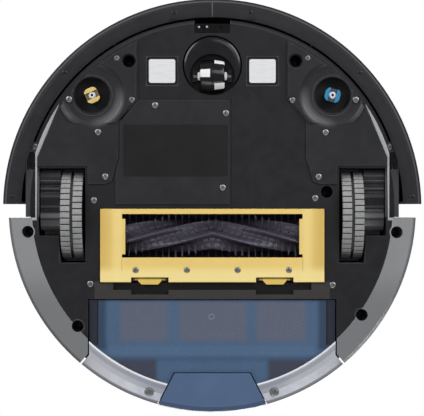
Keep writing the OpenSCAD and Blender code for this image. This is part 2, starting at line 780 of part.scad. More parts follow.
module bumper_shell() {
    z_top = deck_z - 0.5;
    color("#303034") intersection() {
        union() {
            rotate_extrude($fn = 240) polygon([[r_flange, bumper_z], [r_out - 4.5, bumper_z],
                [r_out, bumper_z + 5], [r_out, z_top - 8], [r_out - 3.2, z_top - 1.8],
                [r_out - 5, z_top], [r_flange, z_top], [r_flange, z_top - 2], [r_out - 6, z_top - 2],
                [r_out - 3.3, z_top - 8.3], [r_out - 3.3, bumper_z + 5.6], [r_out - 5.8, bumper_z + 2],
                [r_flange, bumper_z + 2]]);
            // closed ends
            intersection() {
                rotate_extrude($fn = 240) polygon([[r_flange, bumper_z], [r_out - 4.5, bumper_z],
                    [r_out, bumper_z + 5], [r_out, z_top - 8], [r_out - 5, z_top],
                    [r_flange, z_top]]);
                translate([-BIG, -5]) cube([2 * BIG, 2, BIG]);
            }
            // bosses of the flange screws
            at_points(flange_screws) slab(bumper_z + 1.9, bumper_z + 8) circle(2.8, $fn = 32);
        }
        difference() {
            translate([-BIG, -BIG, 0]) cube([2 * BIG, BIG - 3, BIG]);
            slab(window_z[0] - 0.2, window_z[1] + 0.2) intersection() {
                ring(BIG / 2, r_out - 0.9);
                wedge(-90 - window_half - 0.1, -90 + window_half + 0.1);
            }
            at_points(flange_screws) {
                cylinder(h = bumper_z + 6.5, r = 1.2, $fn = 32);
                cylinder(h = bumper_z + 1.2, r = 2, $fn = 32);
            }
        }
    }
}

module bumper_screws() {
    color("#2f2f33") at_points(flange_screws)
        screw(bumper_z - 0.2, head_r = 1.8, shank_r = 1.1, length = 4.6, head_h = 1.4);
}

module sensor_window() {
    color("#101014") slab(window_z[0], window_z[1]) intersection() {
        ring(r_out - 0.1, r_out - 0.9);
        wedge(-90 - window_half, -90 + window_half);
    }
}

// ---- caster

module caster_fork() {
    wy = caster_trail;
    wz = caster_d / 2;
    edge = caster_r - 0.5;
    color("#232327") translate([0, caster_y, 0]) difference() {
        union() {
            difference() {
                rotate_extrude() polygon([[0, z0 - 0.6], [edge - 4, z0 - 0.6], [edge - 2, z0 - 0.3],
                    [edge - 0.8, z0 + 0.4], [edge, z0 + 1.6], [edge, fork_top_z], [0, fork_top_z]]);
                translate([0, wy, -OVER]) cylinder(h = wz + 11, r = fork_pocket_r);
                // deeper room over the wheel
                box([-caster_tread - 0.9, caster_tread + 0.9], [wy - wz - 0.8, wy + wz + 0.8], [0, caster_d + 1]);
            }
            // cheeks that hold the axle
            for (s = [LEFT, RIGHT]) mirror_x(s)
                box([caster_hub + 0.5, caster_hub + 3.9], [wy - 4.4, wy + 4.4], [wz - 1, wz + 12]);
            translate([0, 0, fork_top_z - OVER]) cylinder(h = stem_top_z - fork_top_z + OVER, r = stem_r);
        }
        // the open channel that the axle snaps into
        box([-14.5, 14.5], [wy - 1.55, wy + 1.55], [0, wz]);
        rod_x(-14.5, 14.5, wy, wz, 1.55);
    }
}

module caster_wheel() {
    z = caster_d / 2;
    y = caster_y + caster_trail;
    color("#3a3a3e") difference() {
        union() {
            rod_x(-caster_tread, caster_tread, y, z, caster_d / 2);
            rod_x(-caster_hub, caster_hub, y, z, 2.8);
        }
        rod_x(-BIG, BIG, y, z, 1.55);
    }
}

module caster_axle() {
    color("#9a9ca0") rod_x(-14, 14, caster_y + caster_trail, caster_d / 2, 1.5);
}

// ---- drive wheels

module wheel_gearbox(side) {
    color("#29292d") mirror_x(side) difference() {
        union() {
            along_x(gear_x0, gear_x1) {
                translate([pivot_y, pivot_z]) circle(pivot_r + 2);
                translate([wheel_y, 33]) circle(axle_barrel_r);
                translate([motor_barrel[0], motor_barrel[1]]) circle(motor_barrel[2]);
                polygon([[pivot_y, pivot_z + 5.6], [pivot_y, pivot_z - 5.4], [wheel_y - 2, 22],
                    [wheel_y + 8, 33], [wheel_y, 44], [motor_barrel[0] - 8, 55]]);
            }
            // ribs across the lower face
            for (y = [-17, -14.5, -12, 12.5]) rod_x(gear_x0, gear_x1 - 0.2, y, rib_z(y), 1);
            along_x(gear_x0, gear_x1) translate([wheel_y - 6, 21.6]) square([1.6, 4]);
            translate([(gear_x0 + gear_x1) / 2, spring_y, 38]) cylinder(h = 8, r = 3.4);
        }
        rod_x(gear_x0 + 1.4, BIG, pivot_y, pivot_z, pivot_r + 0.06);
        rod_x(0, gear_x0 + 9, wheel_y, 33, 3.06);
        rod_x(gear_x0 + 1.6, BIG, motor_barrel[0], motor_barrel[1], motor_barrel[2] - 1.2);
    }
}

// height of a wheel gearbox's lower face
function rib_z(y) = y < -5 ? 19.4 + (y - pivot_y) * 0.08 + 0.6 : 24.5;

module wheel_motor(side) {
    color("#a9abad") mirror_x(side) {
        rod_x(gear_x0 + 2.2, gear_x1 - 1, motor_barrel[0], motor_barrel[1], motor_barrel[2] - 1.4);
    }
}

module wheel_springs() {
    color("#b8babd") for (s = [LEFT, RIGHT]) mirror_x(s)
        translate([(gear_x0 + gear_x1) / 2, spring_y, 46.8]) coil(3.6, 0.6, 6, deck_z - 48);
}

module wheel_hub(side) {
    rim_r = wheel_r - 6;
    color("#3b3b40") mirror_x(side) difference() {
        union() {
            difference() {
                rod_x(wheel_x0 + 0.6, wheel_x1 - 0.6, wheel_y, wheel_r, rim_r);
                rod_x(wheel_x0 - OVER, wheel_x0 + 5, wheel_y, wheel_r, rim_r - 3);
            }
            rod_x(wheel_x0 + 1, wheel_x1, wheel_y, wheel_r, 7);
            for (a = [0:60:300]) along_x(wheel_x0 + 2, wheel_x1 - 3) translate([wheel_y, wheel_r]) rotate(a)
                translate([0, -1]) square([rim_r - 2, 2]);
            rod_x(wheel_x1 - OVER, gear_x0 + 8.6, wheel_y, wheel_r, 3);
        }
        rod_x(wheel_x0 - OVER, wheel_x0 + 4, wheel_y, wheel_r, 2);
    }
}

// two rows of lugs, the outer row half a pitch behind the inner one
module tyre(side) {
    lugs = 44;
    groove_w = 2;
    row_w = (tyre_w - groove_w) / 2;
    rows = [[wheel_x0 - OVER, wheel_x0 + row_w], [wheel_x1 - row_w, wheel_x1 + OVER]];
    color("#9b9b9b") mirror_x(side) difference() {
        rod_x(wheel_x0, wheel_x1, wheel_y, wheel_r, wheel_r);
        rod_x(wheel_x0 - OVER, wheel_x1 + OVER, wheel_y, wheel_r, wheel_r - 5.9);
        along_x(wheel_x0 + row_w, wheel_x1 - row_w) translate([wheel_y, wheel_r]) difference() {
            circle(wheel_r + OVER);
            circle(wheel_r - 2);
        }
        for (i = [0:lugs - 1], row = [0, 1])
            along_x(rows[row][0], rows[row][1]) translate([wheel_y, wheel_r])
                rotate(360 / lugs * (i + row / 2)) translate([wheel_r - 1.8, -0.45]) square([3, 0.9]);
    }
}

// ---- main brush, its guard and its drive

module brush_chamber() {
    outer = chamber_r + 1.5;
    color("#222226") difference() {
        union() {
            rod_x(-chamber_x - end_wall, chamber_x + end_wall, brush_y, brush_z, outer);
            box([-duct_x - 1.5, duct_x + 1.5], [brush_y, bay_y - 2], [duct_z0 - 1.5, duct_z1 + 1.5]);
            box([-chamber_x - end_wall, chamber_x + end_wall], [brush_y + 10, 54], [z1 + 3, z1 + 4.5]);
        }
        rod_x(-chamber_x, chamber_x, brush_y, brush_z, chamber_r);
        box([-duct_x, duct_x], [brush_y, bay_y], [duct_z0, duct_z1]);
        box([-BIG, BIG], [-BIG, 55], [-BIG, z1 + 0.6]);
        box([-BIG, BIG], [42, 67], [-BIG, z1 + 2.7]);
        // slots that the roller's ends drop into
        for (s = [LEFT, RIGHT]) mirror_x(s) {
            rod_x(chamber_x - OVER, BIG, brush_y, brush_z, 5.2);
            box([chamber_x - OVER, BIG], [brush_y - 5.2, brush_y + 5.2], [0, brush_z]);
        }
    }
}

module brush_core() {
    half = roller_len / 2;
    color("#3c3b42") difference() {
        union() {
            rod_x(-half, half, brush_y, brush_z, core_r);
            for (x = [-half, half - 3]) rod_x(x, x + 3, brush_y, brush_z, core_r + 4);
            rod_x(-chamber_x - 5, -half, brush_y, brush_z, shaft_r);
            // raised seams that meet in the middle
            for (s = [LEFT, RIGHT], a = [0:60:300], i = [0:5])
                mirror_x(s) along_x(3 + i * 10, 13 + i * 10) translate([brush_y, brush_z]) rotate(a + 15 * i)
                    translate([core_r - 1, -0.7]) square([2, 1.4]);
        }
        // square socket for the drive
        box([half - 7, BIG], [brush_y - 2.6, brush_y + 2.6], [brush_z - 2.6, brush_z + 2.6]);
    }
}

module brush_bristles() {
    color("#1d1c22") for (s = [LEFT, RIGHT], a = [0:60:300], i = [0:7])
        mirror_x(s) translate([7 + i * 7.2, brush_y, brush_z]) rotate([a + 30 + 10.5 * i, 0, 0])
            translate([0, 0, core_r + 1.2])
                cylinder(h = bristle_d / 2 - core_r - 1.2, r1 = 0.9, r2 = 1.5, $fn = 16);
}

module brush_gear() {
    color("#d8d4c4") {
        difference() {
            along_x(gear_x, gear_x + gear_w) translate([brush_y, brush_z]) gear_2d(teeth[0], 0);
            rod_x(gear_x - OVER, gear_x + 2, brush_y, brush_z, 3.9);
        }
        rod_x(chamber_x + 2.2, gear_x + 2, brush_y, brush_z, 3.9);
        box([roller_len / 2 - 6, chamber_x + 2.4], [brush_y - 2.5, brush_y + 2.5],
            [brush_z - 2.5, brush_z + 2.5]);
        rod_x(gear_x + gear_w, gear_x + gear_w + 1.6, brush_y, brush_z, 2);
    }
}

module idler_gear() {
    color("#d8d4c4") difference() {
        along_x(gear_x, gear_x + gear_w) translate([idler_y, idler_z]) gear_2d(teeth[1], phase_idler);
        rod_x(-BIG, BIG, idler_y, idler_z, 1.55);
    }
}

module motor_pinion() {
    color("#c9a94f") {
        along_x(gear_x, gear_x + gear_w) translate([brush_y, motor_z]) gear_2d(teeth[2], phase_pinion);
        rod_x(gear_x - 4, gear_x, brush_y, motor_z, 1.2);
    }
}

module gearbox_case() {
    y0 = brush_y - 13;
    y1 = idler_y + 14;
    color("#2b2b2f") difference() {
        box([gear_x - 1.8, gear_x + gear_w + 2.6], [y0, y1], [z1 + 0.4, deck_z - 0.5]);
        box([gear_x - 0.5, gear_x + gear_w + 0.8], [y0 + 1.3, y1 - 1.3], [z1 + 1.2, deck_z - 1.2]);
        rod_x(gear_x - 3, gear_x, brush_y, brush_z, 4.3);
        rod_x(gear_x, gear_x + gear_w + 2, brush_y, brush_z, 2.06);
        rod_x(gear_x - 3, gear_x, brush_y, motor_z, 1.5);
    }
    color("#b8babd") rod_x(gear_x - 0.5, gear_x + gear_w + 0.8, idler_y, idler_z, 1.5);
}

module brush_bearing() {
    color("#e0b93c") difference() {
        box([-chamber_x - 9, -chamber_x - 2], [brush_y - 8, brush_y + 8], [z1 + 0.5, brush_z + 8]);
        rod_x(-BIG, 0, brush_y, brush_z, shaft_r + 0.06);
    }
}

module brush_guard() {
    color("#efc94c") difference() {
        union() {
            slab(guard_z, guard_z + guard_t) difference() {
                translate([-guard_x, guard_y0]) square([2 * guard_x, guard_y1 - guard_y0]);
                translate([-mouth_x, mouth_y0]) square([2 * mouth_x, mouth_y1 - mouth_y0]);
                for (s = [LEFT, RIGHT]) mirror_x(s)
                    translate([latch_x - latch_half, 51]) square([2 * latch_half, 10]);
            }
            // guides at the ends of the mouth that keep hair off the bearings
            for (s = [LEFT, RIGHT]) mirror_x(s)
                box([mouth_x - 2.4, mouth_x + 0.4], [mouth_y0 + 3.6, mouth_y1 - 2.4], [guard_z, guard_z + 3]);
            // hooks along the front edge that the guard swings on
            for (s = [LEFT, RIGHT]) mirror_x(s) {
                box([72.8, 80], [guard_y0, guard_y0 + 1.2], [guard_z + guard_t - 0.1, z1 + 1.4]);
                box([72.8, 80], [guard_y0 - 1.5, guard_y0 + 1.2], [z1 + 0.4, z1 + 1.4]);
            }
        }
        for (x = [-56.4, -18.7, 18.7, 56.4]) translate([x, guard_screw_y, 0]) {
            cylinder(h = 20, r = 1.15, $fn = 32);
            cylinder(h = guard_z + 1.2, r = 2.3, $fn = 32);
        }
    }
}

module guard_screws() {
    color("#9fb0b4") for (x = [-56.4, -18.7, 18.7, 56.4]) translate([x, guard_screw_y, 0])
        screw(guard_z - 0.2, head_r = 2.05, shank_r = 1.05, length = 3.6, head_h = 1.3);
}

module guard_blade() {
    color("#38383c") difference() {
        box([-62, 62], [mouth_y1 + 1, 50.4], [guard_z + guard_t, guard_z + guard_t + 0.7]);
        for (x = [-56.4, -18.7, 18.7, 56.4])
            translate([x, guard_screw_y, 0]) cylinder(h = 30, r = 1.15, $fn = 32);
    }
}

module guard_latch(side) {
    color("#efc94c") mirror_x(side) translate([latch_x, 0, 0]) {
        slab(guard_z + 0.2, guard_z + 2.2)
            polygon([[-tab_half, 51.8], [tab_half, 51.8], [tab_half, 53.6], [tab_half - 2.4, 56.2],
                [2.4 - tab_half, 56.2], [-tab_half, 53.6]]);
        box([-tab_half, tab_half], [51.8, 53], [guard_z + 2.1, guard_z + 4.2]);
        rod_x(-tab_half - 3.6, tab_half + 3.6, 52.4, guard_z + 3.1, 0.9);
    }
}

// ---- dust bin

bin_wall = 1.8;
bin_front_y = bay_y + 0.6;
bin_z0 = z0 + 0.5;
bin_step_z = z0 + 6;
button_y0 = 121.5;
button_half = 28;
button_slope = 0.51;
filter_windows = [[-67.6, 34.4], [-24, 49], [32.5, 36.3]];   // x and width

// the plan of the button, a wedge that gets wider to the back
module button_2d(more) {
    wide = button_half + button_slope * (158 - button_y0);
    polygon([[-button_half - more, button_y0 - more], [button_half + more, button_y0 - more],
        [wide + more, 158], [-wide - more, 158]]);
}

module bin_outline_2d(less) {
    intersection() {
        circle(r_rim_out - 3 - less, $fn = 240);
        translate([-bin_w / 2 + less, bin_front_y + less]) square([bin_w - 2 * less, BIG]);
    }
}

// the outer shape of the bin, or with less > 0 the room inside it
module bin_shape(less) {
    difference() {
        union() {
            slab(bin_z0 + less, bin_step_z + less + 0.01) difference() {
                bin_outline_2d(less);
                ring(BIG / 2, r_rim + 0.4 - less);
            }
            slab(bin_step_z + less, bin_top_z - bin_wall) bin_outline_2d(less);
        }
        // the button moves in this room
        slab(-OVER, bin_step_z + 2.5 + less) button_2d(0.5 + less);
        slab(-OVER, 56.5 + less) difference() {
            button_2d(1.2 + less);
            circle(r_rim_out - 5.5 - less, $fn = 240);
        }
    }
}

module bin_body() {
    color([0.29, 0.38, 0.5, 0.6]) {
        difference() {
            bin_shape(0);
            difference() {
                bin_shape(bin_wall);
                slab(bin_top_z, BIG) square(BIG, center = true);
            }
            slab(bin_top_z - bin_wall - OVER, bin_top_z) bin_outline_2d(bin_wall);
            // inlet from the brush and outlet to the fan
            box([-duct_x + 1, duct_x - 1], [bay_y - 2, bin_front_y + 5], [duct_z0 + 1, duct_z1 - 1]);
            box([air_x0 + 1, air_x1 - 1], [bay_y - 2, bin_front_y + 5], [air_z0 + 1, air_z1 - 3.5]);
        }
        // ledges under the filter
        for (s = [LEFT, RIGHT]) mirror_x(s)
            box([70, bin_w / 2 - 1], [bin_front_y + 1, 97], [38.4, 40.4]);
    }
}

module bin_lid() {
    color([0.29, 0.38, 0.5, 0.8]) {
        slab(bin_top_z - bin_wall, bin_top_z) bin_outline_2d(0);
        slab(bin_top_z - bin_wall - 1.5, bin_top_z - bin_wall + 0.01) difference() {
            bin_outline_2d(bin_wall + 0.2);
            bin_outline_2d(bin_wall + 1.6);
        }
    }
}

module bin_filter() {
    color("#7d7683") difference() {
        box([-73, 73], [71.5, 97], [40.5, 48]);
        for (w = filter_windows) box([w[0], w[0] + w[1]], [74, 94], [0, 45]);
    }
    color("#b7b0ae") for (w = filter_windows, x = [w[0] + 1.4:3.8:w[0] + w[1] - 2])
        translate([x, 74.5, 41]) cube([1.2, 19, 4.01]);
}

module bin_trims() {
    color("#c9cad2") difference() {
        intersection() {
            rotate_extrude($fn = 240) polygon([[r_rim + 0.6, z0], [r_rim + 2.4, z0 - 0.4],
                [r_rim + 9, z0 + 0.6], [r_rim_low, z0 + 3], [r_rim_out, z0 + 9], [r_rim_out, bin_top_z - 1],
                [r_rim_out - 2.8, bin_top_z - 1], [r_rim_out - 2.8, z0 + 6], [r_rim_out - 5, z0 + 5.8],
                [r_rim + 0.6, z0 + 5.8]]);
            slab(0, BIG) difference() {
                union() {
                    translate([-bin_w / 2 - 0.3, 0]) square([bin_w + 0.6, BIG]);
                    wedge(90 - bin_half_deg + 0.5, 90 + bin_half_deg - 0.5);
                }
                button_2d(0.6);
                translate([-BIG, -BIG]) square([2 * BIG, BIG + 98]);
            }
        }
        for (x = [-46.6, 45.7]) translate([x, 135.6, 0]) {
            cylinder(h = z0 + 2.4, r = 3.5, $fn = 48);
            cylinder(h = 30, r = 1.3, $fn = 32);
        }
    }
}

module bin_screws() {
    color("#a7a9b2") for (x = [-46.6, 45.7]) translate([x, 135.6, 0])
        screw(z0 + 0.6, head_r = 3.2, shank_r = 1.2, length = 3, head_h = 1.8);
}

module bin_button() {
    color("#56678a") difference() {
        intersection() {
            rotate_extrude($fn = 240) polygon([[80, z0 + 0.2], [r_rim_low - 1.4, z0 + 0.2],
                [r_rim_out - 0.8, z0 + 3.4], [r_rim_out + 0.6, z0 + 12], [r_out, 50], [r_out - 2, 54],
                [r_rim_out - 2.8, 54], [r_rim_out - 2.8, z0 + 5.4], [80, z0 + 5.4]]);
            slab(-OVER, BIG) button_2d(-0.2);
        }
        translate([0, 0, z0 + 2.2]) intersection() {
            cylinder(h = 10, r = r_rim_out - 5, $fn = 240);
            slab(0, 3.3) button_2d(-2);
        }
    }
}

// ---- air path

module air_duct() {
    color("#2b2b2f") difference() {
        box([air_x0 - 1.3, air_x1 + 1.3], [fan_y + fan_r + 1, bay_y - 2], [air_z0 - 1.3, air_z1 + 1.3]);
        box([air_x0, air_x1], [0 - BIG, BIG], [air_z0, air_z1]);
    }
}

module fan_housing() {
    color("#34343a") translate([fan_x, fan_y, 0]) difference() {
        translate([0, 0, fan_z0 - 2]) cylinder(h = fan_z1 + 5 - fan_z0, r = fan_r);
        translate([0, 0, fan_z0]) cylinder(h = fan_z1 + 1 - fan_z0, r = fan_r - 2);
        translate([0, 0, fan_z0]) cylinder(h = 40, r = 12.4);
        // air in from the duct, air out at the front
        box([air_x0 - fan_x, air_x1 - fan_x], [10, 40], [air_z0, air_z1]);
        box([-24, -4], [-40, -14], [fan_z0 + 1, fan_z1 - 3]);
    }
}

module fan_motor() {
    color("#a9abad") translate([fan_x, fan_y, 0]) difference() {
        translate([0, 0, fan_z1 - 4]) cylinder(h = deck_z - fan_z1 + 3, r = 12);
        cylinder(h = fan_z1 + 6, r = 1.6, $fn = 48);
    }
}

module fan_impeller() {
    color("#d6d6d8") translate([fan_x, fan_y, 0]) {
        translate([0, 0, fan_z0 + 2]) cylinder(h = 1.6, r = 24);
        translate([0, 0, fan_z0 + 2]) cylinder(h = 11, r = 6);
        translate([0, 0, fan_z0 + 12]) cylinder(h = fan_z1 + 4 - fan_z0 - 12, r = 1.5, $fn = 48);
        for (a = [0:40:320]) rotate(a) translate([14.4, 0, fan_z0 + 3]) rotate(28)
            translate([-9, -0.6, 0]) cube([17, 1.2, 8]);
    }
}

base_housing();
side_frame();
top_cover();
module_plate(LEFT);  // module_plate_left
module_plate(RIGHT);  // module_plate_right
battery_door();
door_label();
battery_cells();
main_board();
charging_contacts();
cliff_sensors();
caster_socket();
brush_chamber();
brush_bearing();
gearbox_case();
brush_motors();
air_duct();
fan_housing();
fan_motor();
base_screws();
case_screws();
dc_jack();
bumper_springs();
bumper_switches();
wheel_springs();
bumper_shell();
sensor_window();
bumper_screws();
caster_fork();
caster_wheel();
caster_axle();
wheel_gearbox(LEFT);  // wheel_gearbox_left
wheel_gearbox(RIGHT);  // wheel_gearbox_right
wheel_motor(LEFT);  // wheel_motor_left
wheel_motor(RIGHT);  // wheel_motor_right
wheel_hub(LEFT);  // wheel_hub_left
wheel_hub(RIGHT);  // wheel_hub_right
tyre(LEFT);  // tyre_left
tyre(RIGHT);  // tyre_right
side_coupling(LEFT, "#e8b93a", -66);  // side_coupling_left
side_coupling(RIGHT, "#2f8fe0", 16);  // side_coupling_right
brush_core();
brush_bristles();
brush_gear();
idler_gear();
motor_pinion();
brush_guard();
guard_screws();
guard_blade();
guard_latch(LEFT);  // guard_latch_left
guard_latch(RIGHT);  // guard_latch_right
bin_body();
bin_lid();
bin_filter();
bin_trims();
bin_screws();
bin_button();
start_button();
power_switch();
fan_impeller();
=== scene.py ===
"""Looks of a round robot vacuum, seen from below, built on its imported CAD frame.

Sizes and places on the vacuum are in millimetres, and MM turns them into metres where a mesh or a shader
needs them. The camera, the lights and the floor are in metres.
"""
import math
import random

import bpy
import bmesh
from mathutils import Matrix, Vector


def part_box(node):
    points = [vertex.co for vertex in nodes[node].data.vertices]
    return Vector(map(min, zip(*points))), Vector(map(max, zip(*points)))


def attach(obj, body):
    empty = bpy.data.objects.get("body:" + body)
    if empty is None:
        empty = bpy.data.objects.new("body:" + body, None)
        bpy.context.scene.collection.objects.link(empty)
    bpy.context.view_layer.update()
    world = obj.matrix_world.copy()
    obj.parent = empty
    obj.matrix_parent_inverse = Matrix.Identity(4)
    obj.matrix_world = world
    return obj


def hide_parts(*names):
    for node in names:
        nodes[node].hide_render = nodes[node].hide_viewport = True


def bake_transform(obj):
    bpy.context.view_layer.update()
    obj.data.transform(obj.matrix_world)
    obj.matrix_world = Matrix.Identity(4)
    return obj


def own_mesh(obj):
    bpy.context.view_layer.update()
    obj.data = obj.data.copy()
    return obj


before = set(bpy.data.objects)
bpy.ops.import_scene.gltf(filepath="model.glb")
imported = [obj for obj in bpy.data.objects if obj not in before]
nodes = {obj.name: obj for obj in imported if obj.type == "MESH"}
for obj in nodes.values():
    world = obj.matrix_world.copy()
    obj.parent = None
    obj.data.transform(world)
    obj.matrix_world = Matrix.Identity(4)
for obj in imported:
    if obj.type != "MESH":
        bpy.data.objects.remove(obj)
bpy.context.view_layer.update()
MM = 0.001
TAU = 2 * math.pi

# where things lie on the CAD frame
WHEEL_Y, WHEEL_Z, WHEEL_R = 5, 33, 33.0     # drive wheels
TYRE_IN, TYRE_OUT = 95.5, 111.5             # side faces of a tyre, from the middle
BRUSH_Y, BRUSH_Z = 20.35, 24.0              # main brush
SIDE_X, SIDE_Y = 88.6, -83.2                # side brush drives
LATCH_X = 46                                # middles of the guard's latches
BASE_Z, MODULE_Z, SHELF_Z = 10.0, 8.8, 14.8  # lower faces of the base, the plates and the rim's shelf
REAR_WELLS = [(-99.3, 87.1), (110.3, 78.8)]  # case screws that go in through the rim
CASE_WELLS = [(-61.4, -108.3), (61.4, -108.3), (84.4, -12), (-136, 17.4), (136, 17.8)] + REAR_WELLS


# ---- camera, light and stage

camera_data = bpy.data.cameras.new("camera")
camera_data.sensor_width = 36
camera_data.lens = 149.8
camera = bpy.data.objects.new("camera", camera_data)
bpy.context.scene.collection.objects.link(camera)
# straight up from below the floor, with the bumper at the top of the picture
camera.matrix_world = Matrix(((1, 0, 0, -0.0002), (0, -1, 0, -0.0001), (0, 0, -1, -1.29), (0, 0, 0, 1)))
bpy.context.scene.camera = camera
bpy.context.scene.view_settings.view_transform = "Standard"


def area_light(name, place, target, size, watts):
    data = bpy.data.lights.new(name, "AREA")
    data.shape = "RECTANGLE"
    data.size, data.size_y = size
    data.energy = watts
    ob = bpy.data.objects.new(name, data)
    bpy.context.scene.collection.objects.link(ob)
    ob.location = place
    ob.rotation_mode = "QUATERNION"
    ob.rotation_quaternion = (Vector(target) - Vector(place)).to_track_quat("-Z", "Y")


area_light("front_left", (-0.95, -0.75, -0.75), (0, 0, 0.02), (0.9, 0.9), 10)
area_light("front_right", (0.95, -0.75, -0.75), (0, 0, 0.02), (0.9, 0.9), 10)
area_light("rear_low", (0, 1.15, -0.8), (0, 0.05, 0.02), (1.4, 0.6), 5)
area_light("below", (0.5, -0.9, -1.5), (0, 0, 0.02), (0.7, 0.7), 3)
area_light("above", (-0.5, -0.7, 1.5), (0, 0, 0), (1.4, 1.4), 26)
area_light("above_back", (0.25, 0.5, 1.8), (0, 0, 0), (1.2, 1.2), 14)


def backdrop():
    """White where the camera sees it, and a weak cool light on the part."""
    world = bpy.data.worlds.new("world")
    bpy.context.scene.world = world
    world.use_nodes = True
    tree = world.node_tree
    tree.nodes.clear()
    out = tree.nodes.new("ShaderNodeOutputWorld")
    mix = tree.nodes.new("ShaderNodeMixShader")
    path = tree.nodes.new("ShaderNodeLightPath")
    light = tree.nodes.new("ShaderNodeBackground")
    seen = tree.nodes.new("ShaderNodeBackground")
    light.inputs["Color"].default_value = (0.95, 0.97, 1, 1)
    light.inputs["Strength"].default_value = 0.24
    seen.inputs["Color"].default_value = (1, 1, 1, 1)
    seen.inputs["Strength"].default_value = 1.0
    tree.links.new(path.outputs["Is Camera Ray"], mix.inputs[0])
    tree.links.new(light.outputs[0], mix.inputs[1])
    tree.links.new(seen.outputs[0], mix.inputs[2])
    tree.links.new(mix.outputs[0], out.inputs[0])


backdrop()


# ---- material helpers

def hexa(text):
    """A colour as linear light, from a # and its six hex digits."""
    def one(i):
        c = int(text[i:i + 2], 16) / 255
        return c / 12.92 if c <= 0.04045 else ((c + 0.055) / 1.055) ** 2.4
    return (one(1), one(3), one(5), 1)


def scaled(colour, k):
    return tuple(min(1, c * k) for c in colour[:3]) + (1,)


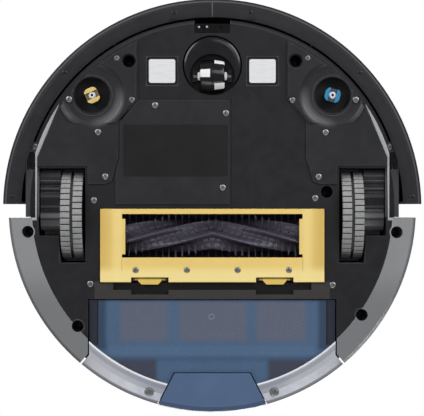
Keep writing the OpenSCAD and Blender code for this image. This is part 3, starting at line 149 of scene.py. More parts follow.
class Mat:
    """A material with a Principled shader, and short calls for the nodes that feed it."""

    def __init__(self, name):
        self.mat = bpy.data.materials.new(name)
        self.mat.use_nodes = True
        self.nt = self.mat.node_tree
        self.nt.nodes.clear()
        self.out = self.nt.nodes.new("ShaderNodeOutputMaterial")
        self.bsdf = self.nt.nodes.new("ShaderNodeBsdfPrincipled")
        self.link(self.bsdf.outputs[0], self.out.inputs[0])
        self.where = self.nt.nodes.new("ShaderNodeTexCoord").outputs["Object"]

    def link(self, a, b):
        self.nt.links.new(a, b)

    def put(self, socket, value):
        if isinstance(value, bpy.types.NodeSocket):
            self.link(value, socket)
        elif value is not None:
            socket.default_value = value

    def noise(self, scale, detail=2.0, vector=None):
        n = self.nt.nodes.new("ShaderNodeTexNoise")
        n.inputs["Scale"].default_value = scale
        n.inputs["Detail"].default_value = detail
        self.link(vector or self.where, n.inputs["Vector"])
        return n.outputs["Fac"]

    def math(self, kind, a, b=None):
        n = self.nt.nodes.new("ShaderNodeMath")
        n.operation = kind
        self.put(n.inputs[0], a)
        self.put(n.inputs[1], b)
        return n.outputs[0]

    def times(self, a, b):
        return self.math("MULTIPLY", a, b)

    def size(self, a):
        """A value without its sign."""
        return self.math("ABSOLUTE", a)

    def length(self, a, b):
        """Length of the vector a, b."""
        return self.math("SQRT", self.math("ADD", self.times(a, a), self.times(b, b)))

    def spread(self, value, low, high, to_low=0.0, to_high=1.0, smooth=False):
        n = self.nt.nodes.new("ShaderNodeMapRange")
        n.interpolation_type = "SMOOTHSTEP" if smooth else "LINEAR"
        self.put(n.inputs["Value"], value)
        self.put(n.inputs["From Min"], low)
        self.put(n.inputs["From Max"], high)
        self.put(n.inputs["To Min"], to_low)
        self.put(n.inputs["To Max"], to_high)
        return n.outputs[0]

    def varied(self, noise, to_low=0.0, to_high=1.0):
        """The common range of a noise, spread between two values."""
        return self.spread(noise, 0.3, 0.7, to_low, to_high)

    def rise(self, value, low, high, smooth=False):
        """0 where value is under low and 1 where it is over high, both in mm."""
        return self.spread(value, low * MM, high * MM, 0.0, 1.0, smooth)

    def fall(self, value, low, high, smooth=False):
        """1 where value is under low and 0 where it is over high, both in mm."""
        return self.spread(value, low * MM, high * MM, 1.0, 0.0, smooth)

    def between(self, value, low, high, soft=0.3):
        """1 where value lies between low and high (mm), with soft ends."""
        return self.times(self.rise(value, low - soft, low + soft, True),
                          self.fall(value, high - soft, high + soft, True))

    def mix(self, factor, a, b):
        n = self.nt.nodes.new("ShaderNodeMix")
        n.data_type = "RGBA"
        self.put(n.inputs["Factor"], factor)
        self.put(n.inputs["A"], a)
        self.put(n.inputs["B"], b)
        return n.outputs["Result"]

    def wash(self, base, mask, amount, colour):
        """base, with a colour laid over it as strongly as amount where mask is 1."""
        return self.mix(self.times(mask, amount), base, hexa(colour))

    def axis(self, name):
        n = self.nt.nodes.new("ShaderNodeSeparateXYZ")
        self.link(self.where, n.inputs[0])
        return n.outputs[name]

    def off(self, name, place):
        """Coordinate along an axis, counted from a place in mm."""
        return self.math("SUBTRACT", self.axis(name), place * MM)

    def from_upright(self, x=0, y=0):
        """Distance from the upright line through x, y."""
        return self.length(self.off("X", x), self.off("Y", y))

    def from_axle(self, y, z):
        """Distance from the line along X through y, z."""
        return self.length(self.off("Y", y), self.off("Z", z))

    def area(self, x, y, soft=0.3, mirrored=False):
        """1 inside a rectangle of the plan. mirrored reads x as a distance from the middle."""
        across = self.size(self.axis("X")) if mirrored else self.axis("X")
        return self.times(self.between(across, *x, soft), self.between(self.axis("Y"), *y, soft))

    def above(self, z):
        return self.rise(self.axis("Z"), z - 0.1, z + 0.1)

    def below(self, z0, z1):
        """1 under z0, fading to 0 at z1."""
        return self.fall(self.axis("Z"), z0, z1)

    def bevel(self, radius):
        n = self.nt.nodes.new("ShaderNodeBevel")
        n.samples = 4
        n.inputs["Radius"].default_value = radius * MM
        return n.outputs[0]

    def edge(self, radius):
        """1 on an edge of the shape, 0 on its faces."""
        g = self.nt.nodes.new("ShaderNodeNewGeometry")
        d = self.nt.nodes.new("ShaderNodeVectorMath")
        d.operation = "DOT_PRODUCT"
        self.link(self.bevel(radius), d.inputs[0])
        self.link(g.outputs["Normal"], d.inputs[1])
        return self.spread(d.outputs["Value"], 0.9, 0.995, 1.0, 0.0)

    def bump(self, height, depth, strength=1.0, normal=None):
        n = self.nt.nodes.new("ShaderNodeBump")
        n.inputs["Strength"].default_value = strength
        n.inputs["Distance"].default_value = depth * MM
        self.link(height, n.inputs["Height"])
        if normal is not None:
            self.link(normal, n.inputs["Normal"])
        return n.outputs[0]

    def finish(self, **inputs):
        for key, value in inputs.items():
            self.put(self.bsdf.inputs[key.replace("_", " ")], value)
        return self.mat


def moulded(name, colour, rough=0.45, grain=2600, depth=0.02, mottle=0.12, wear_and_shine=0.6, radius=0.3,
            edge_gain=2.0, shine=0.35, tint=None, **more):
    """Moulded plastic: fine spark grain, slight cloudiness, and rounded edges made lighter, partly as rubbing
    and partly as painted highlight.

    grain and depth (mm) are the spark grain's scale and height, and mottle is how cloudy the colour is.
    radius (mm) rounds the edges, wear_and_shine is how strongly the edges are lightened, and edge_gain how
    much lighter they get.
    """
    m = Mat(name)
    colour = hexa(colour)
    base = m.mix(m.varied(m.noise(38, 3)), scaled(colour, 1 - mottle), scaled(colour, 1 + mottle))
    if tint:
        base = tint(m, base)
    if wear_and_shine:
        # lighter edges: partly rubbing, partly painted highlight
        rub_and_shine = m.times(m.edge(radius + 0.25), m.spread(m.noise(300, 2), 0.3, 0.65, 0.35, 1.0))
        base = m.mix(m.times(rub_and_shine, wear_and_shine), base, scaled(colour, edge_gain))
    roughness = m.varied(m.noise(160, 3), rough - 0.07, rough + 0.07)
    normal = m.bump(m.noise(grain, 2), depth, 1.0, m.bevel(radius))
    return m.finish(Base_Color=base, Roughness=roughness, Normal=normal, Specular_IOR_Level=shine, **more)


def metal(name, colour, rough=0.3, brushed=(1, 1, 1), depth=0.01, shine=1.0):
    """Metal with fine drawn lines. brushed is their scale along each axis, and depth their height in mm."""
    m = Mat(name)
    colour = hexa(colour)
    mapping = m.nt.nodes.new("ShaderNodeMapping")
    mapping.inputs["Scale"].default_value = brushed
    m.link(m.where, mapping.inputs["Vector"])
    lines = m.noise(900, 3, mapping.outputs[0])
    base = m.mix(m.varied(lines), scaled(colour, 0.9), scaled(colour, 1.05))
    roughness = m.varied(m.noise(420, 2), rough - 0.08, rough + 0.08)
    normal = m.bump(lines, depth, 1.0, m.bevel(0.15))
    return m.finish(Base_Color=base, Roughness=roughness, Normal=normal, Metallic=shine)


def dress(material, *names):
    for name in names:
        data = nodes[name].data
        data.materials.clear()
        data.materials.append(material)
        for p in data.polygons:
            p.material_index = 0


# ---- tints: each takes a material and its base colour, and gives the base colour with marks laid over it; many of the marks are painted light and shade

def base_tint(m, base):
    """Seal before the bin, painted shade in the latch recesses, painted light on the deep faces round each
    wheel and in the bumper's gap, painted light on the sensor's seat, a painted highlight on the contacts'
    frames, and a darker seat for the contacts.
    """
    seal = m.area((-87, 87), (54, 67))
    base = m.wash(base, seal, 0.55, "#4a4744")
    # painted shade: the latch recesses are darkened as if in shadow
    pocket_shade = m.times(m.area((-74, 74), (54, 64.2)), m.above(10.6))
    base = m.wash(base, pocket_shade, 0.9, "#09090a")
    # painted light: the deep faces round each wheel are lightened as if lit
    well_light = m.times(m.area((92, 130), (-31, 42), 0.1, True), m.above(10.8))
    base = m.wash(base, well_light, 0.85, "#77777a")
    # painted light: the deep faces in the bumper's gap are lightened as if lit
    gap = m.times(m.rise(m.from_upright(), 134.6, 135), m.above(13))
    base = m.wash(base, gap, 0.9, "#4a4a4e")
    # painted light on the sensor's recessed seat
    sensor_seat_light = m.times(m.area((-13.4, 13.4), (-142, -134.4)), m.above(13))
    base = m.wash(base, sensor_seat_light, 0.9, "#b0b0b4")
    # painted highlight on the lit edges of the contacts' frames
    contact_frame_highlight = m.area((25.1, 48.9), (-112, -90), 0.15, True)
    base = m.wash(base, contact_frame_highlight, 0.45, "#606064")
    contact_seat = m.area((25.7, 48.3), (-111.4, -90.6), 0.15, True)
    return m.wash(base, contact_seat, 0.9, "#1b1b1d")


def plate_tint(m, base):
    """A painted highlight on the inner rear side of each round dish, and a ring of painted highlight in its
    middle.
    """
    inward = m.math("SUBTRACT", SIDE_X * MM, m.size(m.axis("X")))
    rearward = m.off("Y", SIDE_Y)
    d = m.length(inward, rearward)
    along = m.math("ADD", m.times(inward, 0.77), m.times(rearward, 0.64))
    way = m.math("DIVIDE", along, m.math("MAXIMUM", d, 1 * MM))
    # painted highlight on the inner rear side of the dish, where it would catch the light
    painted_sheen = m.times(m.between(d, 17.5, 23.5, 1.8), m.spread(way, 0.45, 0.98, 0.0, 1.0, True))
    base = m.wash(base, painted_sheen, 0.6, "#66666a")
    # painted highlight ring round the drive's opening in the middle of the dish
    ring = m.between(d, 14.0, 14.9, 0.25)
    return m.wash(base, ring, 0.8, "#7d7d80")


def rim_tint(m, base):
    """Painted shade towards the rear, brighter inner strips, black collars where each screw well stands in
    the base, and painted shade on the sloping outer edge.
    """
    # painted shade, darker towards the rear
    rear = m.rise(m.axis("Y"), 40, 72, True)
    base = m.wash(base, rear, 0.9, "#787a7c")
    strips = m.area((90, 133), (-120, 14), 0.3, True)
    base = m.wash(base, strips, 0.6, "#bcbdbf")
    in_base = m.fall(m.from_upright(), 132.6, 133)
    collars = m.math("MAXIMUM", *[m.fall(m.from_upright(x, y), 6.9, 7.2) for x, y in REAR_WELLS])
    base = m.wash(base, m.times(in_base, collars), 1, "#242427")
    return outer_shade(m, base, "#4e4f52")


def outer_shade(m, base, tone):
    """Painted shade on the sloping outer edge, which lies in shadow, so that it stands out from the pale
    ground.
    """
    # painted shade on the sloping outer edge
    slope_shade = m.times(m.rise(m.from_upright(), 148.2, 150.6), m.below(19, 24))
    return m.wash(base, slope_shade, 0.85, tone)


def trim_tint(m, base):
    """A painted highlight line on the inner edge, painted shade in the dip beside it, painted shade on the
    ends beside the button, and painted shade on the sloping outer edge.
    """
    low, d = m.below(13, 16), m.from_upright()
    # painted shade on the ends beside the button
    ends = m.fall(m.size(m.axis("X")), 38, 66, True)
    # painted shade beside the inner edge, and a white painted highlight along that edge
    hollow_shade = m.between(d, 135.2, 138.4, 0.9)
    inner_highlight = m.between(d, 133, 134.7, 0.25)
    for mask, amount, tone in ((ends, 0.5, "#969aa8"), (hollow_shade, 0.45, "#8c90a0"), (inner_highlight, 1, "#ffffff")):
        base = m.wash(base, m.times(mask, low), amount, tone)
    return outer_shade(m, base, "#6a6c78")


def latch_tint(m, base):
    """The hinge side gets painted shade, as it lies in the shade of the guard, and the ends sit in dark
    sockets.
    """
    # painted shade on the hinge side, under the guard
    hinge_shade = m.fall(m.axis("Y"), 51.8, 53, True)
    base = m.wash(base, hinge_shade, 0.75, "#5c4814")
    from_middle = m.size(m.math("SUBTRACT", m.size(m.axis("X")), LATCH_X * MM))
    ends = m.rise(from_middle, 10.9, 11.4)
    return m.wash(base, ends, 0.85, "#3a1c1e")


def guard_tint(m, base):
    """Painted light beside the mouth and on the rear band, painted shade towards the ends, and painted shade
    on a lip beside the mouth.
    """
    across, y = m.size(m.axis("X")), m.axis("Y")
    # painted shade, darker towards the ends
    ends = m.rise(across, 68, 83, True)
    base = m.wash(base, ends, 0.6, "#d3ad58")
    # painted light beside the mouth
    mouth_side_light = m.between(across, 66.2, 73.5, 2.6)
    base = m.wash(base, mouth_side_light, 0.45, "#ffe69e")
    # painted light on the rear band
    rear_band_light = m.between(y, 45, 56, 4)
    base = m.wash(base, rear_band_light, 0.85, "#ffe9a0")
    # painted shade on the lip beside the mouth
    lip = m.times(m.between(across, 66.3, 66.9, 0.15), m.between(y, 36, 46, 2))
    return m.wash(base, lip, 0.5, "#b58f3c")


def gearbox_tint(m, base):
    """Painted highlights on the ridges and painted shade in the hollows across the lower face."""
    low, high = -31, 22
    # painted light and shade: bands across Y, light on the ridges and dark in the hollows
    light_and_shade_stops = [(-31, "#4a4a4d"), (-25.7, "#6a6a6d"), (-22, "#333336"), (-19.6, "#1a1a1c"),
             (-19.3, "#4c4c50"), (-18.8, "#1c1c1e"), (-16.3, "#1a1a1c"), (-14.7, "#6a6a6e"),
             (-13.6, "#232326"), (-12.3, "#18181a"), (-8.5, "#66666a"), (-7.6, "#29292c"),
             (-2.4, "#2c2c2f"), (-1.1, "#6a6a6e"), (0, "#18181a"), (3, "#19191b"), (4.5, "#9a9a9e"),
             (6.6, "#a6a6aa"), (8.2, "#141416"), (10, "#a4a4a8"), (13, "#c8c8cc"), (16.8, "#e0e0e4"),
             (18, "#77777b")]
    light_and_shade_ramp = m.nt.nodes.new("ShaderNodeValToRGB")
    m.link(m.rise(m.axis("Y"), low, high), light_and_shade_ramp.inputs["Fac"])
    marks = light_and_shade_ramp.color_ramp.elements
    while len(marks) < len(light_and_shade_stops):
        marks.new(0.5)
    for mark, (y, _) in zip(marks, light_and_shade_stops):
        mark.position = (y - low) / (high - low)
    for mark, (_, colour) in zip(marks, light_and_shade_stops):
        mark.color = hexa(colour)
    return m.mix(0.8, base, light_and_shade_ramp.outputs["Color"])


def bumper_tint(m, base):
    """A fine seam in the middle of the front, painted shade on the inner edge, a painted highlight line near
    the outer, and clips.
    """
    low, d = m.below(14, 15), m.from_upright()
    seam = m.times(m.between(m.axis("X"), -0.35, 0.35, 0.15), low)
    base = m.wash(base, seam, 0.6, "#77777b")
    # painted shade on the inner edge
    inner_edge_shade = m.times(m.fall(d, 138, 146, True), low)
    base = m.wash(base, inner_edge_shade, 0.75, "#121214")
    # painted highlight line near the outer edge
    line = m.between(d, 152.2, 153.4, 0.4)
    base = m.wash(base, line, 0.45, "#7a7a7e")
    clips = m.area((23.8, 32.2), (-139.8, -137.6), 0.5, True)
    return m.wash(base, clips, 0.8, "#08080a")


def sensor_tint(m, base):
    """Two small painted glints on the lenses in the left cell of the front sensor."""
    # painted glints, one on each lens
    for x, y in ((-9.8, -133.5), (-3.9, -133.7)):
        base = m.wash(base, m.fall(m.from_upright(x, y), 0.5, 0.95), 0.9, "#c9c9cc")
    return base


def bin_tint(m, base):
    """The filter windows, ribs and rails behind the smoky floor, blurred by it."""
    rear_corners = m.area((41, 90), (111, 140), 2.4, True)
    ends = m.area((78, 92), (66, 104), 2.0, True)
    filter_frame = m.area((-78, 78), (68, 100.5), 4.0)
    pale_rib = m.area((-76, 76), (101.5, 108.5), 2.0)
    dark_rib = m.area((-84, 84), (109.6, 113), 2.0)
    marks = [(rear_corners, 0.85, "#4e4c59"), (ends, 0.7, "#36445a"), (filter_frame, 0.5, "#627a9b"),
             (pale_rib, 0.5, "#6987ab"), (dark_rib, 0.45, "#4a5f7e")]
    for window in ((-67.6, -33.2), (-24, 25), (32.5, 68.8)):
        marks.append((m.area(window, (69, 98), 2.6), 0.82, "#767a89"))
    side_rails = m.area((84, 91), (67, 101), 0.3, True)
    rail_lines = m.area((84.1, 84.9), (67, 101), 0.2, True)
    front_edge = m.area((-91, 91), (66.8, 68.4))
    screw_ring = m.between(m.from_upright(-0.5, 80), 1.7, 2.1, 0.15)
    marks += [(side_rails, 0.95, "#353744"), (rail_lines, 0.8, "#15161c"), (front_edge, 0.7, "#34384a"),
              (screw_ring, 0.6, "#c4c9d6")]
    low = m.below(13, 14)
    for mask, amount, tone in marks:
        base = m.wash(base, m.times(mask, low), amount, tone)
    return base


# ---- materials

def label_material():
    m = Mat("label_black")
    paper = m.noise(1400, 4)
    base = m.mix(m.varied(m.noise(60, 2)), hexa("#121214"), hexa("#19191b"))
    return m.finish(Base_Color=base, Roughness=m.varied(paper, 0.5, 0.66), Normal=m.bump(paper, 0.01),
                    Specular_IOR_Level=0.3)


def coupling_material(name, colour, x):
    """A moulded driver with a steel pin in its middle, with painted shade where it sits deep."""
    m = Mat(name)
    colour = hexa(colour)
    d = m.from_upright(x, SIDE_Y)
    pin = m.times(m.fall(d, 2.5, 2.7), m.spread(d, 0.9 * MM, 1.15 * MM, 0.15, 1.0))
    plastic = m.mix(m.varied(m.noise(300, 2)), scaled(colour, 0.88), scaled(colour, 1.1))
    # painted highlight: lighter edges
    plastic = m.mix(m.times(m.edge(0.5), 0.5), plastic, scaled(colour, 1.5))
    # painted shade where the driver sits deep in its well
    plastic = m.wash(plastic, m.above(BASE_Z), 0.82, "#4a3c34")
    return m.finish(Base_Color=m.mix(pin, plastic, hexa("#f4f6fb")), Metallic=m.times(pin, 0.25),
                    Roughness=m.spread(pin, 0, 1, 0.36, 0.25),
                    Normal=m.bump(m.noise(2200, 2), 0.012, 1.0, m.bevel(0.35)))


def board_material():
    """A green board with fine tracks, and dark chips that stand above it."""
    m = Mat("board_green")
    tracks = m.noise(240, 4)
    green = m.mix(m.spread(tracks, 0.46, 0.54), hexa("#124d27"), hexa("#1f7a41"))
    chips = m.rise(m.axis("Z"), 45.65, 45.7)
    return m.finish(Base_Color=m.mix(chips, green, hexa("#17171a")), Roughness=m.varied(tracks, 0.3, 0.45),
                    Normal=m.bump(tracks, 0.04, 0.6, m.bevel(0.15)))


def cell_material():
    """Blue shrink wrap with bare metal ends."""
    m = Mat("cell_wrap")
    ends = m.rise(m.size(m.off("Y", -40)), 31, 31.2)
    wrap = m.mix(m.varied(m.noise(50, 3)), hexa("#27539a"), hexa("#3465b4"))
    return m.finish(Base_Color=m.mix(ends, wrap, hexa("#c4c6c8")), Metallic=ends,
                    Roughness=m.varied(m.noise(200, 2), 0.22, 0.34), Normal=m.bump(m.noise(500, 2), 0.02))


def filter_material():
    """A moulded frame with pleated paper in its windows."""
    m = Mat("filter_mauve")
    wave = m.nt.nodes.new("ShaderNodeTexWave")
    wave.inputs["Scale"].default_value = 82
    m.link(m.where, wave.inputs["Vector"])
    pleat = wave.outputs["Fac"]
    base = m.mix(m.varied(m.noise(90, 3)), hexa("#827a88"), hexa("#978c96"))
    return m.finish(Base_Color=m.wash(base, pleat, 0.2, "#b9aeb2"),
                    Roughness=m.varied(m.noise(400, 3), 0.6, 0.8),
                    Normal=m.bump(pleat, 0.2, 0.6, m.bevel(0.3)))


def smoky_material(name, colour, alpha, rough, tint=None):
    """Smoky plastic that lets what is inside show through."""
    m = Mat(name)
    colour = hexa(colour)
    base = m.mix(m.varied(m.noise(30, 3)), scaled(colour, 0.94), scaled(colour, 1.06))
    if tint:
        base = tint(m, base)
    return m.finish(Base_Color=base, Alpha=alpha, Coat_Weight=0.2, Coat_Roughness=0.1,
                    Roughness=m.varied(m.noise(220, 3), rough - 0.05, rough + 0.08),
                    Normal=m.bump(m.noise(260, 2), 0.001, 0.6))


def tyre_material():
    """Grey rubber, dusty on the lugs, with painted shade down in the grooves."""
    m = Mat("tyre_grey")
    colour = hexa("#9f9f9f")
    dust = m.noise(420, 4)
    deep = m.fall(m.from_axle(WHEEL_Y, WHEEL_Z), WHEEL_R - 1, WHEEL_R - 0.25)
    base = m.mix(m.varied(m.noise(90, 3)), scaled(colour, 0.86), scaled(colour, 1.06))
    base = m.mix(m.spread(dust, 0.5, 0.75, 0, 0.4), base, hexa("#6b6a69"))
    # painted shade down in the grooves
    base = m.wash(base, deep, 0.85, "#262627")
    return m.finish(Base_Color=base, Roughness=m.varied(dust, 0.55, 0.75),
                    Normal=m.bump(m.noise(1700, 3), 0.03), Sheen_Weight=0.1, Sheen_Roughness=0.5)


def bristle_material():
    """Dark violet strands with pale worn tips."""
    m = Mat("bristle")
    tone = m.noise(700, 2)
    base = m.mix(m.spread(tone, 0.35, 0.65), hexa("#34313c"), hexa("#5a5568"))
    base = m.wash(base, m.rise(m.from_axle(BRUSH_Y, BRUSH_Z), 16.2, 18.8), 0.7, "#837f90")
    return m.finish(Base_Color=base, Roughness=m.varied(tone, 0.3, 0.5),
                    Sheen_Weight=0.2, Sheen_Roughness=0.4)


mat_dark_screw = metal("screw_black", "#46464a", 0.42, (1, 1, 3))
mat_screw = metal("screw_steel", "#a2a2a4", 0.4, (1, 1, 3))
mat_spring = metal("spring_steel", "#8b8d90", 0.28)
mat_tyre = tyre_material()
mat_bristle = bristle_material()
mat_roller = moulded("roller_violet", "#464252", 0.3, depth=0.01, mottle=0.1, edge_gain=1.9, shine=0.5)
mat_mark = moulded("caster_mark", "#f4f4f2", 0.4, depth=0.006, mottle=0.04, wear_and_shine=0)
mat_caster = moulded("caster_rubber", "#131316", 0.16, depth=0.004, mottle=0.1, wear_and_shine=0.2, shine=0.5)

dress(moulded("base_black", "#202022", 0.42, depth=0.03, wear_and_shine=0.8, edge_gain=4.0, tint=base_tint),
      "base_housing", "caster_socket", "air_duct", "fan_housing", "gearbox_case")
dress(moulded("chamber_violet", "#625c6e", 0.4, depth=0.02, edge_gain=2.0), "brush_chamber")
dress(moulded("rim_grey", "#909193", 0.36, depth=0.007, mottle=0.05, edge_gain=1.4, tint=rim_tint),
      "side_frame")
dress(moulded("cover_gloss", "#141418", 0.16, depth=0.002, mottle=0.1, wear_and_shine=0.3, shine=0.5,
              Coat_Weight=0.6, Coat_Roughness=0.06), "top_cover")
dress(moulded("module_black", "#2a2a2d", 0.36, depth=0.02, wear_and_shine=0.9, edge_gain=4.5, tint=plate_tint),
      "module_plate_left", "module_plate_right")
dress(moulded("door_black", "#29292c", 0.4, depth=0.025, wear_and_shine=0.9, edge_gain=5.0), "battery_door")
dress(label_material(), "door_label")
dress(cell_material(), "battery_cells")
dress(board_material(), "main_board")
dress(metal("contact_nickel", "#f6f7f8", 0.5, (0.15, 4, 1), depth=0.002, shine=0.4), "charging_contacts")
dress(moulded("sensor_black", "#08080a", 0.14, depth=0.003, mottle=0.1, wear_and_shine=0.2, shine=0.5,
              tint=sensor_tint), "cliff_sensors", "sensor_window")
dress(moulded("bearing_ochre", "#b98f2e", 0.42), "brush_bearing")
dress(metal("motor_steel", "#77787b", 0.34, (0.1, 3, 3)),
      "fan_motor", "wheel_motor_left", "wheel_motor_right", "caster_axle", "brush_motors")
dress(moulded("jack_black", "#18181a", 0.4), "dc_jack", "bumper_switches")
dress(moulded("bumper_grey", "#27272a", 0.42, grain=1900, depth=0.035, edge_gain=3.2, tint=bumper_tint),
      "bumper_shell")
dress(moulded("caster_black", "#17171a", 0.2, depth=0.006, mottle=0.08, edge_gain=3.0, shine=0.5),
      "caster_fork")
dress(moulded("gearbox_black", "#232326", 0.26, depth=0.012, wear_and_shine=0.5, edge_gain=3.0, shine=0.5,
              tint=gearbox_tint), "wheel_gearbox_left", "wheel_gearbox_right")
dress(moulded("hub_black", "#303034", 0.4), "wheel_hub_left", "wheel_hub_right")
dress(coupling_material("coupling_yellow", "#e2c878", -SIDE_X), "side_coupling_left")
dress(coupling_material("coupling_blue", "#2f86b4", SIDE_X), "side_coupling_right")
dress(moulded("gear_white", "#d8d4c4", 0.34, depth=0.01), "brush_gear", "idler_gear")
dress(metal("pinion_brass", "#c9a94f", 0.28), "motor_pinion")
dress(moulded("guard_yellow", "#f2d27c", 0.4, depth=0.015, mottle=0.03, wear_and_shine=0.5, edge_gain=1.25,
              tint=guard_tint), "brush_guard")
dress(moulded("latch_yellow", "#eac766", 0.4, depth=0.02, mottle=0.05, wear_and_shine=0.4, edge_gain=1.35,
              tint=latch_tint), "guard_latch_left", "guard_latch_right")
dress(moulded("blade_rubber", "#1f1f24", 0.62, depth=0.02), "guard_blade")
dress(smoky_material("bin_blue", "#5a7799", 0.62, 0.22, bin_tint), "bin_body")
dress(smoky_material("bin_inner", "#33486a", 0.6, 0.3), "bin_lid")
dress(filter_material(), "bin_filter")
dress(moulded("trim_silver", "#cdced6", 0.34, depth=0.003, mottle=0.03, wear_and_shine=0.5, edge_gain=1.4,
              Metallic=0.3, Coat_Weight=0.12, Coat_Roughness=0.2, tint=trim_tint), "bin_trims")
dress(moulded("button_blue", "#546a8b", 0.36, depth=0.012, mottle=0.05, edge_gain=1.8), "bin_button")
dress(moulded("start_silver", "#b9babd", 0.26, depth=0.004, Metallic=0.7), "start_button")
dress(moulded("switch_red", "#b3202a", 0.3, depth=0.006), "power_switch")
dress(moulded("fan_white", "#d6d6d8", 0.36, depth=0.01), "fan_impeller")


# ---- mesh helpers

def piece(name, verts, faces, body, material, stands_for=(), marks=()):
    """A mesh piece, riding on a body unless body is None. Faces in marks take the second material."""
    mesh = bpy.data.meshes.new(name)
    mesh.from_pydata([(x * MM, y * MM, z * MM) for x, y, z in verts], [], faces)
    mesh.validate()
    bm = bmesh.new()
    bm.from_mesh(mesh)
    bmesh.ops.recalc_face_normals(bm, faces=bm.faces)
    bm.to_mesh(mesh)
    bm.free()
    for one in material if isinstance(material, (list, tuple)) else [material]:
        mesh.materials.append(one)
    for i in marks:
        mesh.polygons[i].material_index = 1
    mesh.shade_smooth()
    mesh.set_sharp_from_angle(angle=math.radians(40))
    ob = bpy.data.objects.new(name, mesh)
    bpy.context.scene.collection.objects.link(ob)
    if body:
        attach(ob, body)
    if stands_for:
        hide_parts(*stands_for)
    return ob


def smoothstep(a, b, x):
    """0 at a, 1 at b, eased between."""
    t = min(1, max(0, (x - a) / (b - a)))
    return t * t * (3 - 2 * t)


def spun(profile, steps, height=None):
    """A closed loop of (x, r) points turned round the X axis. height(k, x, r, angle) may change an r."""
    verts, faces, n = [], [], len(profile)
    for i in range(steps):
        a = TAU * i / steps
        for k, (x, r) in enumerate(profile):
            rr = height(k, x, r, a) if height else r
            verts.append((x, rr * math.cos(a), rr * math.sin(a)))
    for i in range(steps):
        j = (i + 1) % steps
        for k in range(n):
            m = (k + 1) % n
            faces.append((i * n + k, i * n + m, j * n + m, j * n + k))
    return verts, faces


def moved(verts, dx, dy, dz):
    return [(x + dx, y + dy, z + dz) for x, y, z in verts]


def joined(parts):
    """One list of verts and faces from several."""
    verts, faces = [], []
    for v, f in parts:
        base = len(verts)
        verts += v
        faces += [tuple(i + base for i in face) for face in f]
    return verts, faces


def skin(rows, sides):
    """Faces of a stack of rings with a cap on each end. Each ring has sides points, in order."""
    faces = []
    for i in range(rows - 1):
        for k in range(sides):
            m = (k + 1) % sides
            faces.append((i * sides + k, i * sides + m, (i + 1) * sides + m, (i + 1) * sides + k))
    last = (rows - 1) * sides
    return faces + [tuple(range(sides))[::-1], tuple(last + k for k in range(sides))]


def tube(pts, r, sides):
    """A swept tube through points, closed at both ends."""
    verts = []
    side = None
    for i, p in enumerate(pts):
        t = (pts[min(i + 1, len(pts) - 1)] - pts[max(i - 1, 0)]).normalized()
        if side is None:
            side = t.orthogonal().normalized()
        side = (side - t * side.dot(t)).normalized()
        other = t.cross(side)
        for k in range(sides):
            a = TAU * k / sides
            verts.append(tuple(p + side * (r * math.cos(a)) + other * (r * math.sin(a))))
    return verts, skin(len(pts), sides)


# ---- tyres

def tyre(sign, side):
    """Two staggered rows of lugs with a groove between them, on a plain carcass."""
    x0, x1, r = TYRE_IN, TYRE_OUT, WHEEL_R
    mid = (x0 + x1) / 2
    lugs, gap = 44, 0.75
    centre_depth, gap_depth = 2.0, 1.75
    from_edge = (0, 0.35, 0.8, 1.6, 3.5)
    from_mid = (-1.5, -1.15, -0.95, -0.5, 0.5, 0.95, 1.15, 1.5)
    tread = [x0 + e for e in from_edge] + [mid + e for e in from_mid] + [x1 - e for e in reversed(from_edge)]
    carcass = [(x1, 31.4), (x1 - 0.15, 29), (x1 - 0.5, 27.1), (x0 + 0.5, 27.1), (x0 + 0.15, 29), (x0, 31.4)]

    def height(k, x, rr, a):
        if k >= len(tread):
            return rr
        stagger = 0 if x < mid else 0.5
        centre = smoothstep(1.15, 0.9, abs(x - mid))
        shoulder = max(0, 0.8 - min(x - x0, x1 - x)) ** 2 / 0.8 * 0.75
        # distance round the tread from the nearest gap between two lugs
        u = abs(((a / TAU * lugs - stagger + 0.5) % 1 - 0.5) * TAU * r / lugs)
        groove = smoothstep(gap / 2 + 0.14, gap / 2 - 0.16, u)
        lip = 0.12 * smoothstep(gap / 2 + 0.6, gap / 2 + 0.1, u)
        return rr - max(centre_depth * centre, gap_depth * groove, shoulder + lip)

    verts, faces = spun([(x, r) for x in tread] + carcass, lugs * 20, height)
    verts = [(sign * x, y, z) for x, y, z in moved(verts, 0, WHEEL_Y, WHEEL_Z)]
    piece(f"tyre_tread_{side}", verts, faces, f"wheel_{side}", mat_tyre, [f"tyre_{side}"])


tyre(-1, "left")
tyre(1, "right")


# ---- screws

SCREW_TURNS = random.Random(7)
# radius and height of a head, and radius of its shank
SMALL, CASE, GUARD = (2.2, 1.6, 1.3), (3.4, 2.2, 1.55), (2.05, 1.3, 1.05)
BIN, BUMPER = (3.2, 1.8, 1.2), (1.8, 1.4, 1.1)


